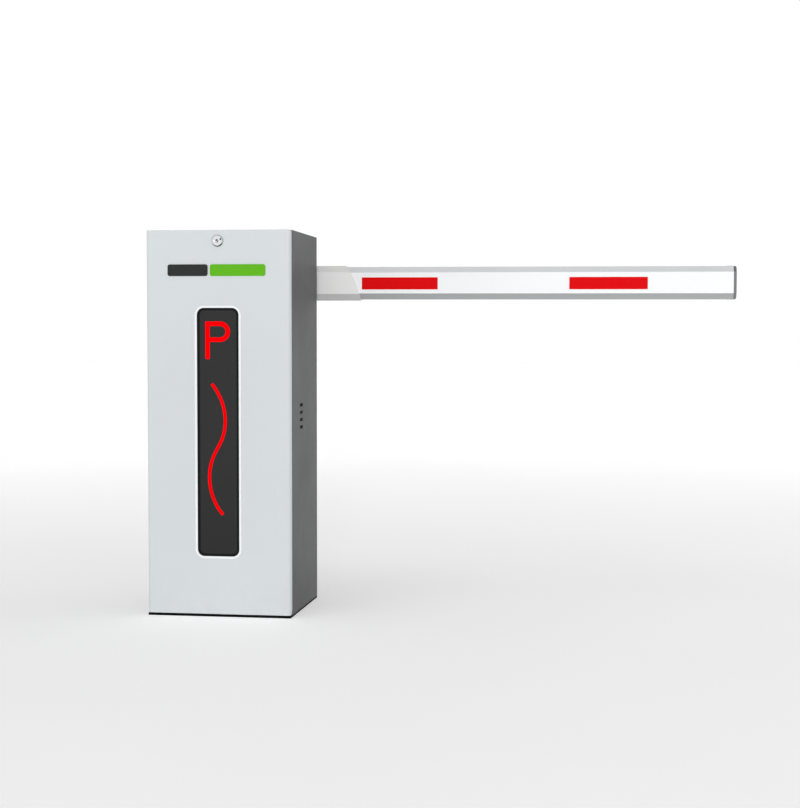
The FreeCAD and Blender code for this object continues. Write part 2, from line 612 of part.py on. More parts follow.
def sensor_disc():
    """Position disc with a quarter-turn step in its rim, clamped on the shaft's front end."""
    disc = fuse(rod_y(0, SHAFT_Z, 32, -111, -109), rod_y(0, SHAFT_Z, 20, -109, -101))
    step = box(-40, -2, -120, -108.9, SHAFT_Z + 2, SHAFT_Z + 40).cut(rod_y(0, SHAFT_Z, 25, -130, -100))
    return cut(disc, step, rod_y(0, SHAFT_Z, SHAFT_R + FIT_GAP, -130, -90))


def position_sensors():
    parts = []
    for z in SENSOR_Z:
        body = rounded_block(22, 42, -118, -103, z - 6, z + 6, 1.5, "x")
        slot = box(20, 34, -113, -107, z - 7, z + 7)
        parts.append(cut(body, slot, rod_x(-110, z, 1.5, 36, 50)))
    return group(*parts)


def sensor_bracket():
    upright = box(42, 44.5, -118, -100, 798, SHAFT_Z + 26)
    foot = box(42, 76, -102.5, -100, 798, 826)
    bracket = fuse(upright, foot)
    wire_holes = [rod_x(-110, z, 1.6, 40, 50) for z in SENSOR_Z]
    return cut(bracket, *wire_holes, *holes_y(SENSOR_BOLTS, 2.6, -110, -90))


# ---- boom ---------------------------------------------------------------------------------
def boom_tube():
    outer = octagon(BOOM_H, BOOM_D, BOOM_CHAMFER, BOOM_ROOT, BOOM_END - 8)
    height, depth = BOOM_H - 2 * BOOM_WALL, BOOM_D - 2 * BOOM_WALL
    inner = octagon(height, depth, BOOM_CHAMFER - 1.2, BOOM_ROOT - 1, BOOM_END)
    return cut(outer.cut(inner), *holes_y(HUB_BOLTS, BOOM_BOLT_R + 0.3, 150, 300))


def boom_end_cap():
    head = octagon(BOOM_H, BOOM_D, BOOM_CHAMFER, BOOM_END - 8, BOOM_END)
    head = head.makeChamfer(3, [e for e in head.Edges if abs(e.CenterOfMass.x - BOOM_END) < 0.01])
    gap = BOOM_WALL + 0.2
    plug = octagon(BOOM_H - 2 * gap, BOOM_D - 2 * gap, BOOM_CHAMFER - 1.2, BOOM_END - 28, BOOM_END - 8)
    hollow = octagon(BOOM_H - 14, BOOM_D - 14, BOOM_CHAMFER - 3, BOOM_END - 29, BOOM_END - 12)
    return fuse(head, plug).cut(hollow)


def boom_sleeve():
    """The octagonal holder of the boom; its free end is raked along an arc."""
    grow = 2 * (HOLDER_GAP + HOLDER_WALL)
    outer = octagon(BOOM_H + grow, BOOM_D + grow, BOOM_CHAMFER + 1.9, -76, 320)
    inner = octagon(BOOM_H + 2 * HOLDER_GAP, BOOM_D + 2 * HOLDER_GAP, BOOM_CHAMFER, -72.5, 330)
    top, bottom = SHAFT_Z + 60, SHAFT_Z - 60
    rake = Part.Arc(V(245, 0, top), V(290, 0, SHAFT_Z + 8), V(302, 0, bottom)).toShape()
    edges = [rake, Part.makeLine(V(302, 0, bottom), V(400, 0, bottom)),
             Part.makeLine(V(400, 0, bottom), V(400, 0, top)), Part.makeLine(V(400, 0, top), V(245, 0, top))]
    beyond = Part.Face(Part.Wire(edges)).extrude(V(0, 400, 0))
    return cut(outer.cut(inner), beyond, *holes_y(HUB_BOLTS, BOOM_BOLT_R + 0.3, 150, 300))


def boom_hub():
    boss = rod_y(0, SHAFT_Z, 30, BACK + 5, HOLDER_FRONT - 10)
    flange = rounded_block(-72, 72, HOLDER_FRONT - 10, HOLDER_FRONT, SHAFT_Z - 30, SHAFT_Z + 30, 10, "y")
    collar = Part.makeCone(38, 30, 7, V(0, HOLDER_FRONT - 10, SHAFT_Z), -Y_AXIS)
    hub = fuse(boss, flange, collar)
    bore = keyed_bore(SHAFT_Z, SHAFT_R, 8, 150, BACK + 32.5)
    return cut(hub, *bore, *holes_y(HUB_BOLTS, BOOM_BOLT_R + 0.3, 150, 300))


def boom_bolts():
    parts = []
    far = BOOM_Y + BOOM_D / 2 + HOLDER_GAP + HOLDER_WALL
    for x, z in HUB_BOLTS:
        head_face = HOLDER_FRONT - 10
        parts.append(bolt(V(x, head_face, z), Y_AXIS, BOOM_BOLT_R, far + 12 - head_face))
        parts.append(nut(V(x, far, z), Y_AXIS, BOOM_BOLT_R))
    return group(*parts)


def red_marker_strips():
    face = BOOM_D / 2
    length, thick = 213.0, 0.5
    z0, z1 = SHAFT_Z - 18, SHAFT_Z + 15.5
    strips = []
    for x0 in (309.0, 885.0):
        strips.append(box(x0, x0 + length, BOOM_Y - face - thick, BOOM_Y - face, z0, z1))
        strips.append(box(x0, x0 + length, BOOM_Y + face, BOOM_Y + face + thick, z0, z1))
    return group(*strips)


# ---- door ---------------------------------------------------------------------------------
def door_section(offset, z0, z1):
    """The door's outer form less an offset: rounded along its two upright front edges."""
    side = HALF_W - offset
    solid = box(-side, side, FRONT + offset, FRONT + DOOR_DEPTH + (5 if offset else 0), z0, z1)
    return rounded_edges(solid, 9 - offset, lambda p, way: abs(way.z) > 0.9 and p.y < FRONT + 5)


def front_door():
    inset = DOOR_SHEET
    door = door_section(0, DOOR_Z0, DOOR_Z1).cut(door_section(inset, DOOR_Z0 + inset, DOOR_Z1 - inset))
    rear = FRONT + DOOR_DEPTH
    returns = [box(s * 183 - 6, s * 183 + 6, rear - inset, rear, 34, DOOR_Z1 - 1) for s in (-1, 1)]
    ears = []
    for s in (-1, 1):
        ear = fuse(box(160.5, 163.5, PANE_Y - 0.2, HINGE_Y, 12, 28), rod_x(HINGE_Y, HINGE_Z, 6, 160.5, 163.5))
        ear = ear.cut(rod_x(HINGE_Y, HINGE_Z, 2.5 + RUN_GAP, 150, 170))
        ears.append(ear if s > 0 else ear.mirror(V(0, 0, 0), X_AXIS))
    door = fuse(door, *returns, *ears)
    corner = box(-HALF_W, HALF_W, HINGE_Y, rear + 1, DOOR_Z0 - 1, HINGE_Z)
    corner = corner.cut(rod_x(HINGE_Y, HINGE_Z, 12, -HALF_W, HALF_W))
    corner = corner.cut(box(-164, 164, HINGE_Y, HINGE_Y + 7, 13, HINGE_Z))
    notches = [box(s * 167 - 5, s * 167 + 5, PANE_Y, rear + 1, DOOR_Z0 - 1, 12) for s in (-1, 1)]
    half = WINDOW_W / 2
    window = rounded_block(-half, half, FRONT - 1, rear, WINDOW_Z0, WINDOW_Z1, WINDOW_R, "y")
    lock_hole = rod_y(0, LOCK_Z, 11.2, FRONT - 1, rear)
    return cut(door, corner, window, lock_hole, *notches)


def window_bezel():
    half = WINDOW_W / 2
    edge = 5.5
    outer = rounded_block(-half - edge, half + edge, FRONT - 1.5, FRONT, WINDOW_Z0 - edge, WINDOW_Z1 + edge,
                          WINDOW_R + edge, "y")
    inner = rounded_block(-half, half, FRONT - 2, FRONT + 1, WINDOW_Z0, WINDOW_Z1, WINDOW_R, "y")
    return outer.cut(inner)


def letter_p(y0, y1):
    """The parking sign's P: a stem and a bowl of one stroke width."""
    stroke, left, right, low, high, bowl = 11.8, -33.5, 32.0, 668.0, 764.7, 712.0
    stem = box(left, left + stroke, y0, y1, low, high)
    radius = (high - bowl) / 2
    middle = bowl + radius
    outer = fuse(box(left, right - radius, y0, y1, bowl, high), rod_y(right - radius, middle, radius, y0, y1))
    inner_r = radius - stroke
    inner = fuse(box(left, right - radius, y0 - 1, y1 + 1, middle - inner_r, middle + inner_r),
                 rod_y(right - radius, middle, inner_r, y0 - 1, y1 + 1))
    return fuse(stem, outer.cut(inner))


def wave(y0, y1, half):
    """An upright S-shaped ribbon of constant width with square ends, twice its half wide."""
    path = [(-17.0, 604.0), (9.0, 560.0), (18.5, 508.0), (8.5, 458.5), (-10.0, 423.0), (-22.5, 382.0),
            (-21.0, 333.0), (11.5, 266.0)]
    curve = Part.BSplineCurve()
    curve.interpolate([V(x, y0, z) for x, z in path])
    first, last = curve.FirstParameter, curve.LastParameter
    sides = []
    for sign in (-1, 1):
        points = []
        for i in range(25):
            t = first + (last - first) * i / 24
            way = curve.tangent(t)[0]
            points.append(curve.value(t) + V(way.z, 0, -way.x) * (sign * half))
        side = Part.BSplineCurve()
        side.interpolate(points)
        sides.append(side.toShape())
    a, b = sides
    caps = [Part.makeLine(a.firstVertex().Point, b.firstVertex().Point),
            Part.makeLine(a.lastVertex().Point, b.lastVertex().Point)]
    return Part.Face(Part.Wire(Part.__sortEdges__([a, b] + caps))).extrude(V(0, y1 - y0, 0))


def window_pane():
    half = WINDOW_W / 2 + 4
    pane = rounded_block(-half, half, PANE_Y, PANE_Y + 3, WINDOW_Z0 - 4, WINDOW_Z1 + 4, WINDOW_R + 4, "y")
    return cut(pane, letter_p(PANE_Y - 1, PANE_Y + 5), wave(PANE_Y - 1, PANE_Y + 5, 4.1))


def led_signs():
    return group(letter_p(PANE_Y - 0.3, PANE_Y + 8), wave(PANE_Y - 0.3, PANE_Y + 8, 4.05))


def light_box():
    """Open-fronted black housing behind the pane, with a plug socket low on its back."""
    front = PANE_Y + 3
    half = WINDOW_W / 2 + 6
    outer = rounded_block(-half, half, front, BOX_BACK, WINDOW_Z0 - 10, WINDOW_Z1 + 10, 8, "y")
    inner = rounded_block(-half + 2, half - 2, front - 1, BOX_BACK - 2, WINDOW_Z0 - 8, WINDOW_Z1 + 8, 6, "y")
    socket = rounded_block(-15, 15, BOX_BACK, BOX_BACK + 8, 166, 184, 3, "y")
    bosses = [rod_y(x, z, 4, BOARD_Y + 1.6, BOX_BACK - 1) for x in (-48, 48) for z in (175, 480, 785)]
    shell = fuse(outer.cut(inner), socket, *bosses)
    return shell.cut(box(-11, 11, BOX_BACK + 3, BOX_BACK + 10, 169, 181))


def led_board():
    board = box(-54, 54, BOARD_Y, BOARD_Y + 1.6, 155, 803)
    chips = [box(x - 2.5, x + 2.5, BOARD_Y - 1.5, BOARD_Y, z - 2.5, z + 2.5)
             for x in (-26.0, 0.0, 22.0) for z in range(270, 780, 34)]
    return fuse(board, *chips)


def name_plate():
    """Two plain rounded bars side by side; no mark or lettering."""
    dark = rounded_block(-132, -26, FRONT - 1.5, FRONT, 881, 911, 6, "y")
    bright = rounded_block(-20, 126, FRONT - 1.5, FRONT, 881, 911, 6, "y")
    return group(dark, bright)


def lock_barrel():
    ring = Part.makeCone(15, 12.5, 5, V(0, FRONT, LOCK_Z), -Y_AXIS)
    barrel_r = LOCK_R + 4
    barrel = rod_y(0, LOCK_Z, barrel_r, FRONT, FRONT + 20.5)
    body = fuse(ring, barrel).cut(rod_y(0, LOCK_Z, LOCK_R + RUN_GAP, FRONT - 10, FRONT + 30))
    clamp_nut = hexagon(26, V(0, PANE_Y, LOCK_Z), Y_AXIS, 4)
    return group(body, clamp_nut.cut(rod_y(0, LOCK_Z, barrel_r + FIT_GAP, FRONT - 10, FRONT + 10)))


def lock_plug():
    cam_y0, cam_y1 = FRONT + 23.0, FRONT + 25.5
    plug = rod_y(0, LOCK_Z, LOCK_R, FRONT - 4.4, cam_y0)
    tongue = rounded_block(0, 23, cam_y0, cam_y1, LOCK_Z - 7, LOCK_Z + 7, 3, "y")
    cam = fuse(rod_y(0, LOCK_Z, LOCK_R + 2, cam_y0, cam_y1), tongue)
    screw = rod_y(0, LOCK_Z, 5, cam_y1, cam_y1 + 3)
    keyway = box(-1.2, 1.2, FRONT - 6, FRONT + 8, LOCK_Z - 4.5, LOCK_Z + 4.5)
    return cut(fuse(plug, cam, screw), keyway)


# ---- electrical panel ---------------------------------------------------------------------
def electrical_panel():
    panel = rounded_block(-155, 155, PANEL_Y, PANEL_Y + 2, 68, 392, 8, "y")
    return cut(panel, *holes_y(PANEL_STUDS, 3.3, 100, 150))


def control_unit_case():
    case = rounded_block(-130, 22, UNIT_Y, PANEL_Y, 215, 365, 6, "y")
    case = rounded_edges(case, 3, lambda p, way: p.y < UNIT_Y + 0.01)
    hollow = box(-126, 18, UNIT_Y + 4, PANEL_Y - 3, 219, 361)
    display = rounded_block(-40, 6, UNIT_Y - 1, UNIT_Y + 1.5, 300, 335, 3, "y")
    holes = [rod_y(x, BUTTON_Z, BUTTON_R + 0.3, UNIT_Y - 5, UNIT_Y + 8) for x in BUTTONS.values()]
    wire_holes = [rod_z(x, WIRE_Y, 2.5, 210, 222) for x in WIRE_XS]
    return cut(case, hollow, display, *holes, *wire_holes)


def push_button(name):
    x = BUTTONS[name]
    stem = rod_y(x, BUTTON_Z, BUTTON_R, UNIT_Y - 3, UNIT_Y + 6)
    cap = fuse(stem, rod_y(x, BUTTON_Z, BUTTON_R + 1.6, UNIT_Y + 6, UNIT_Y + 8))
    return cap.makeFillet(1, [e for e in cap.Edges if abs(e.CenterOfMass.y - UNIT_Y + 3) < 0.01])


def power_supply():
    case = rounded_block(44, 136, 88, PANEL_Y, 225, 365, 2, "z")
    slots = [box(50, 130, 80, 92, z, z + 3.5) for z in range(240, 350, 9)]
    hollow = box(46, 134, 90, PANEL_Y - 2, 227, 363)
    gland = rod_z(113, 108, 8, 365, 375)
    case = fuse(case.cut(hollow), gland)
    return cut(case, rod_z(113, 108, 4, 355, 380), *slots)


def din_rail():
    """A 35 mm top-hat rail."""
    back, crown = PANEL_Y, PANEL_Y - 7.5
    low = [(back, 134), (crown + 1, 134), (crown + 1, 130), (crown, 130), (crown, 135), (back - 1, 135)]
    middle = TOGGLE_Z
    high = [(y, 2 * middle - z) for y, z in reversed(low)]
    return prism_yz(low + high, -135, 135)


def circuit_breaker():
    body = box(-128, -92, 78, PANEL_Y - 7.5, 106, 189)
    nose = box(-128, -92, BREAKER_FRONT, 78, 125, 170)
    body = rounded_edges(fuse(body, nose), 1.5, lambda p, way: abs(way.x) > 0.9 and p.y < 79)
    pocket = box(-117, -103, BREAKER_FRONT - 1, 76, 136, 159)
    pivot = rod_x(TOGGLE_Y, TOGGLE_Z, 2.05, -120, -100)
    split = box(-110.3, -109.7, 40, PANEL_Y - 20, 100, 135)
    return cut(body, pocket, pivot, split)


def breaker_toggle():
    drum = fuse(rod_x(TOGGLE_Y, TOGGLE_Z, 6, -116, -104), rod_x(TOGGLE_Y, TOGGLE_Z, 2, -119.5, -100.5))
    lever = box(-116, -104, 50, TOGGLE_Y, TOGGLE_Z - 2.5, TOGGLE_Z + 2.5)
    lever.rotate(V(0, TOGGLE_Y, TOGGLE_Z), X_AXIS, -30)
    return fuse(drum, lever)


def terminal_blocks():
    blocks = []
    for x in WIRE_XS:
        block = prism_yz([(82, 132), (120.5, 124), (120.5, 171), (100, 171), (82, 162)], x - 4, x + 4)
        screw = rod_y(x, 147, 2.6, 80, 90)
        blocks.append(cut(block, screw, rod_z(x, WIRE_Y, 1.7, 160, 175)))
    return group(*blocks)


def motor_cable():
    """Supply cable from the motor's gland over the shelf to the power supply, and the short unit wires."""
    x, radius, bend = 113.0, 3.5, 26.0
    y_end, z_top = 108.0, WORM_Z + 39
    low = 366.0
    start = V(x, GEAR_Y + 24, z_top)
    corner_in = V(x, y_end - bend, z_top)
    corner_out = V(x, y_end, z_top - bend)
    middle = V(x, y_end - bend * (1 - ARM_45), z_top - bend * (1 - ARM_45))
    path = Part.Wire([Part.makeLine(start, corner_in), Part.Arc(corner_in, middle, corner_out).toShape(),
                      Part.makeLine(corner_out, V(x, y_end, low))])
    section = Part.Wire(Part.makeCircle(radius, start, Y_AXIS))
    cable = path.makePipeShell([section], True, True)
    wires = [rod_z(wire_x, WIRE_Y, 1.5, 162, 221) for wire_x in WIRE_XS]
    return group(cable, *wires)


# ---- fasteners of the cabinet -------------------------------------------------------------
def housing_screws():
    parts = []
    for y, z in RAIL_STUDS:
        parts.append(nut(V(-WALL_IN + 4, y, z), X_AXIS, 4))
        parts.append(nut(V(WALL_IN - 4, y, z), -X_AXIS, 4))
    for y, z in SHELF_STUDS:
        parts.append(nut(V(-WALL_IN + 4.5, y, z), X_AXIS, 4))
        parts.append(nut(V(WALL_IN - 4.5, y, z), -X_AXIS, 4))
    for x, z in PANEL_STUDS:
        parts.append(nut(V(x, PANEL_Y, z), -Y_AXIS, 3))
    for x, y in FOOT_BOLTS:
        parts.append(bolt(V(x, y, BASE_THICK + SHEET), -Z_AXIS, 3, 6.5))
    for x, y in HINGE_BOLTS:
        parts.append(bolt(V(x, y, BASE_THICK + 3), -Z_AXIS, 3, 7.5))
    for x, y in BLOCK_BOLTS:
        parts.append(bolt(V(x, y, RAIL_TOP + 14), -Z_AXIS, 6, 28))
        parts.append(nut(V(x, y, RAIL_TOP - RAIL_WALL), -Z_AXIS, 6, 7))
    for x, y in GEARBOX_FEET:
        parts.append(bolt(V(x, y, SHELF_TOP + 8), -Z_AXIS, 4, 8 + SHELF_THICK + 8))
    for x, z in COVER_BOLTS:
        parts.append(bolt(V(x, -111, z), Y_AXIS, 2.5, 17))
    for x, z in STOP_BOLTS:
        parts.append(bolt(V(x, STOP_Y1 - 4, z), Y_AXIS, 3, 16))
    for x, z in SENSOR_BOLTS:
        parts.append(bolt(V(x, -102.5, z), Y_AXIS, 2.5, 8))
    return group(*parts)


NODES = [
    base_plate, housing_shell, top_cover, door_hinge_brackets, door_seal, front_cross_rail,
    rear_cross_rail, bearing_inserts, mounting_shelf, gearbox_casing, gearbox_cover, motor_casing,
    stop_brackets, rubber_buffers, spring_eye_bolts, counterbalance_springs, sensor_bracket,
    position_sensors, electrical_panel, control_unit_case, power_supply, din_rail, circuit_breaker,
    terminal_blocks, motor_cable, housing_screws, main_shaft, bearing_inner_rings, rocker_arm,
    spring_lever, stop_arm, sensor_disc, boom_hub, boom_sleeve, boom_bolts, boom_tube, boom_end_cap,
    red_marker_strips, output_shaft, worm_wheel, crank_arm, connecting_rod, spring_hanger, worm_shaft,
    handwheel, front_door, window_bezel, window_pane, led_signs, light_box, led_board, name_plate,
    lock_barrel, lock_plug, breaker_toggle,
]


def build():
    os.makedirs("parts", exist_ok=True)
    shapes = {make.__name__: make() for make in NODES}
    shapes["front_bearing_block"] = bearing_block(FRONT_RAIL_Y)
    shapes["rear_bearing_block"] = bearing_block(REAR_RAIL_Y)
    for name in BUTTONS:
        shapes["button_" + name] = push_button(name)
    for name, shape in shapes.items():
        shape.exportStep("parts/" + name + ".step")
        state = "ok" if shape.isValid() else "INVALID"
        print(name, len(shape.Solids), round(shape.Volume / 1000, 2), "cm3", state)


build()
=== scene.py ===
import bpy
import bmesh
import json
import math
from mathutils import Matrix, Vector


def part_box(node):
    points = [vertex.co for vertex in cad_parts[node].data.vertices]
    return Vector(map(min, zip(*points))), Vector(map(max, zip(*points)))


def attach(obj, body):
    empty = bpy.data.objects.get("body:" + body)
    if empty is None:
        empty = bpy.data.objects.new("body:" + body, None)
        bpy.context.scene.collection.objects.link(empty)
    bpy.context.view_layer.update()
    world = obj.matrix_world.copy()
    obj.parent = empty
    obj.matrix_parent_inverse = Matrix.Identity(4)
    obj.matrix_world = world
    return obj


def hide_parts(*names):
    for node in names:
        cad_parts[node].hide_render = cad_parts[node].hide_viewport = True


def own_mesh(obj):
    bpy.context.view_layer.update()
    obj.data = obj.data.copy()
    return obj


# The looks of a parking barrier gate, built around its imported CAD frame. Metres and degrees.
# +X runs along the lowered boom, +Y away from the front door, +Z up.

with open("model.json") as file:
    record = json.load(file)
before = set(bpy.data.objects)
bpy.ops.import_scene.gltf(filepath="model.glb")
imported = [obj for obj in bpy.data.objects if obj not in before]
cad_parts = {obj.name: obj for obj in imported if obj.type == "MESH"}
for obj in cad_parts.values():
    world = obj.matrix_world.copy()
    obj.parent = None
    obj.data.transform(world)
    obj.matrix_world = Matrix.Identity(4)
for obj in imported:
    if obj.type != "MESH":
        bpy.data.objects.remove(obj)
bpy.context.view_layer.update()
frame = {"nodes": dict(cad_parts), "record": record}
NODES = frame["nodes"]


# ---- node trees ----
RANGE_ENDS = ("From Min", "From Max", "To Min", "To Max")
LIBRARY = {}  # finished materials by slot


class Tree:
    """A material's node tree, with a short call for each kind of node used here."""

    def __init__(self, name):
        self.slot = name
        self.material = bpy.data.materials.new(name)
        self.material.use_nodes = True
        self.tree = self.material.node_tree
        self.shader = self.tree.nodes["Principled BSDF"]
        self.place = self.node("ShaderNodeTexCoord").outputs["Object"]

    def node(self, kind, **settings):
        made = self.tree.nodes.new(kind)
        for key, value in settings.items():
            setattr(made, key, value)
        return made

    def feed(self, socket, value):
        """Link an output to a socket, or set the socket to a constant."""
        if isinstance(value, bpy.types.NodeSocket):
            self.tree.links.new(value, socket)
        elif isinstance(value, tuple) and len(value) == 3 and socket.type == "RGBA":
            socket.default_value = (*value, 1)
        else:
            socket.default_value = value

    def stretch(self, x, y, z):
        """Object coordinates scaled by axis, for brushed or drawn surfaces."""
        mapping = self.node("ShaderNodeMapping")
        self.feed(mapping.inputs["Vector"], self.place)
        mapping.inputs["Scale"].default_value = (x, y, z)
        return mapping.outputs[0]

    def noise(self, scale, detail, roughness=0.5, place=None):
        made = self.node("ShaderNodeTexNoise")
        self.feed(made.inputs["Vector"], place or self.place)
        made.inputs["Scale"].default_value = scale
        made.inputs["Detail"].default_value = detail
        made.inputs["Roughness"].default_value = roughness
        return made.outputs["Fac"]

    def cells(self, scale, feature="F1", output="Distance"):
        made = self.node("ShaderNodeTexVoronoi", feature=feature)
        self.feed(made.inputs["Vector"], self.place)
        made.inputs["Scale"].default_value = scale
        return made.outputs[output]

    def part(self, vector, name):
        split = self.node("ShaderNodeSeparateXYZ")
        self.feed(split.inputs[0], vector)
        return split.outputs[name]

    def axis(self, name):
        return self.part(self.place, name)

    def facing(self, name):
        """How far the surface looks along an axis of its own object, from -1 to 1."""
        return self.part(self.node("ShaderNodeTexCoord").outputs["Normal"], name)

    def maths(self, operation, *values):
        made = self.node("ShaderNodeMath", operation=operation)
        for socket, value in zip(made.inputs, values):
            self.feed(socket, value)
        return made.outputs[0]

    def times(self, first, second):
        return self.maths("MULTIPLY", first, second)

    def span(self, value, low, high, to_low=0.0, to_high=1.0):
        made = self.node("ShaderNodeMapRange")
        self.feed(made.inputs["Value"], value)
        for name, number in zip(RANGE_ENDS, (low, high, to_low, to_high)):
            made.inputs[name].default_value = number
        return made.outputs[0]

    def spread(self, noise, to_low=0.0, to_high=1.0):
        """A noise's middle range, stretched between two values."""
        return self.span(noise, 0.3, 0.7, to_low, to_high)

    def blend(self, factor, first, second):
        made = self.node("ShaderNodeMix", data_type="RGBA")
        self.feed(made.inputs["Factor"], factor)
        self.feed(made.inputs[6], first)
        self.feed(made.inputs[7], second)
        return made.outputs[2]

    def scale(self, vector, factor):
        made = self.node("ShaderNodeVectorMath", operation="SCALE")
        self.feed(made.inputs[0], vector)
        self.feed(made.inputs["Scale"], factor)
        return made.outputs[0]

    def bump(self, height, distance, strength=1.0, over=None):
        made = self.node("ShaderNodeBump")
        self.feed(made.inputs["Height"], height)
        made.inputs["Distance"].default_value = distance
        made.inputs["Strength"].default_value = strength
        if over is not None:
            self.feed(made.inputs["Normal"], over)
        return made.outputs[0]

    def edge_wear(self, radius):
        """1 on outer edges and 0 on flats, from how far a rounded normal leaves the true one."""
        dot = self.node("ShaderNodeVectorMath", operation="DOT_PRODUCT")
        self.feed(dot.inputs[0], self.soft_edges(radius))
        self.feed(dot.inputs[1], self.node("ShaderNodeNewGeometry").outputs["Normal"])
        return self.span(dot.outputs["Value"], 0.98, 0.8)

    def soft_edges(self, radius):
        """The normal of a surface whose edges are rounded by a small radius."""
        made = self.node("ShaderNodeBevel", samples=4)
        made.inputs["Radius"].default_value = radius
        return made.outputs[0]

    def finish(self, **inputs):
        for name, value in inputs.items():
            self.feed(self.shader.inputs[name.replace("_", " ")], value)
        LIBRARY[self.slot] = self.material
        return self.material


def shade(colour, factor):
    return tuple(min(1.0, c * factor) for c in colour)


# ---- material families ----
PEEL_SCALE, PEEL_DEPTH = 1500.0, 0.00004  # the paint's orange peel
DIRT_HEIGHT = 0.14  # how far up the ground's dust reaches
SPARK_SCALE, SPARK_DEPTH = 1800.0, 0.00003  # the moulded plastic's eroded grain
LINE_SCALE, LINE_DEPTH = 700.0, 0.00002  # the drawn metal's lines


def paint(slot, colour, rough, dirt=0.0, gloss=0.4, slope_shade=None):
    """Powder coat: fine orange peel, slow tone drift, faint scuffs, and dust towards the ground.
    Faces that look down or up can be given a (lower, upper) share of the tone: painted shade and light,
    standing in for how the light falls on sloping faces."""
    t = Tree(slot)
    drift = t.spread(t.noise(2.2, 4), 0.975, 1.02)
    speck = t.span(t.noise(PEEL_SCALE * 0.6, 1), 0.35, 0.65, 0.965, 1.03)
    base = t.scale(colour, t.times(drift, speck))
    scuff = t.span(t.noise(9.0, 8, 0.75, t.stretch(3.0, 3.0, 0.4)), 0.62, 0.72)
    base = t.blend(t.times(scuff, 0.1), base, shade(colour, 1.25))
    if dirt:
        low = t.span(t.axis("Z"), DIRT_HEIGHT, 0.0)
        patch = t.times(low, t.span(t.noise(26.0, 6, 0.65), 0.3, 0.75))
        base = t.blend(t.times(patch, dirt), base, (0.2, 0.17, 0.13))
    # painted shade and light: faces that look down or up get their share of the tone, while faces that look
    # along Y keep it whole
    if slope_shade:
        painted_slope_shade = t.scale(base, t.span(t.facing("Z"), -0.2, 0.2, *slope_shade))
        flat = t.span(t.maths("ABSOLUTE", t.facing("Y")), 0.75, 0.95)
        base = t.blend(flat, painted_slope_shade, base)
    peel = t.bump(t.noise(PEEL_SCALE, 2, 0.6), PEEL_DEPTH, 1.0, t.soft_edges(0.0007))
    wave = t.bump(t.noise(14.0, 2), 0.0006, 0.25, peel)
    cloud = t.spread(t.noise(7.0, 5), rough - 0.04, rough + 0.05)
    roughness = t.maths("ADD", cloud, t.times(scuff, 0.08))
    return t.finish(Base_Color=base, Roughness=roughness, Normal=wave, Specular_IOR_Level=gloss)


def brushed(slot, colour, rough, along):
    """Drawn or ground metal: fine lines along one axis, uneven roughness, brighter worn edges."""
    t = Tree(slot)
    factors = {"x": (0.02, 1, 1), "y": (1, 0.02, 1), "z": (1, 1, 0.02)}[along]
    line = t.noise(LINE_SCALE, 2, 0.6, t.stretch(*factors))
    tone = t.spread(line)
    base = t.blend(tone, shade(colour, 0.8), shade(colour, 1.12))
    cloud = t.noise(22.0, 5, 0.6)
    base = t.blend(t.span(cloud, 0.45, 0.75, 0.0, 0.35), base, shade(colour, 0.62))
    base = t.blend(t.times(t.edge_wear(0.0008), 0.25), base, shade(colour, 1.4))
    uneven = t.spread(cloud, rough - 0.06, rough + 0.1)
    roughness = t.maths("ADD", uneven, t.spread(line, -0.03, 0.04))
    return t.finish(Base_Color=base, Roughness=roughness, Metallic=1.0, Normal=t.bump(line, LINE_DEPTH))


def galvanised(slot, colour, rough):
    """Zinc spangle: crystals of slightly different tone and sheen, with matt oxide patches."""
    t = Tree(slot)
    crystal = t.cells(150.0, output="Color")
    grey = t.node("ShaderNodeRGBToBW")
    t.feed(grey.inputs[0], crystal)
    tone = t.span(grey.outputs[0], 0.2, 0.8)
    base = t.blend(tone, shade(colour, 0.9), shade(colour, 1.07))
    feather = t.noise(420.0, 3, 0.7, t.stretch(1.0, 1.0, 0.35))
    base = t.blend(t.span(feather, 0.4, 0.7, 0.0, 0.18), base, shade(colour, 1.2))
    oxide = t.span(t.noise(11.0, 6, 0.6), 0.52, 0.72)
    base = t.blend(t.times(oxide, 0.35), base, (0.42, 0.43, 0.44))
    sheen = t.span(tone, 0.0, 1.0, rough - 0.04, rough + 0.05)
    roughness = t.maths("ADD", sheen, t.times(oxide, 0.12))
    height = t.maths("ADD", tone, t.times(feather, 0.4))
    return t.finish(Base_Color=base, Roughness=roughness, Metallic=0.92, Normal=t.bump(height, 0.00003))


def cast(slot, colour, rough, metallic=1.0, grain=420.0, depth=0.00022):
    """Sand or die casting: pitted grain over soft swells, darker in the pits, bright worn edges."""
    t = Tree(slot)
    grit = t.noise(grain, 5, 0.65)
    pits = t.span(t.cells(grain * 0.7), 0.0, 0.5)
    height = t.maths("ADD", grit, t.times(pits, 0.4))
    base = t.blend(t.span(grit, 0.3, 0.65), shade(colour, 0.7), shade(colour, 1.08))
    base = t.blend(t.span(t.noise(16.0, 5), 0.5, 0.8, 0.0, 0.4), base, shade(colour, 0.7))
    base = t.blend(t.times(t.edge_wear(0.0015), 0.35), base, shade(colour, 1.35))
    swell = t.bump(t.noise(30.0, 3), 0.0008, 0.35, t.bump(height, depth))
    return t.finish(Base_Color=base, Roughness=t.spread(grit, rough + 0.08, rough - 0.06),
                    Metallic=metallic, Normal=swell)


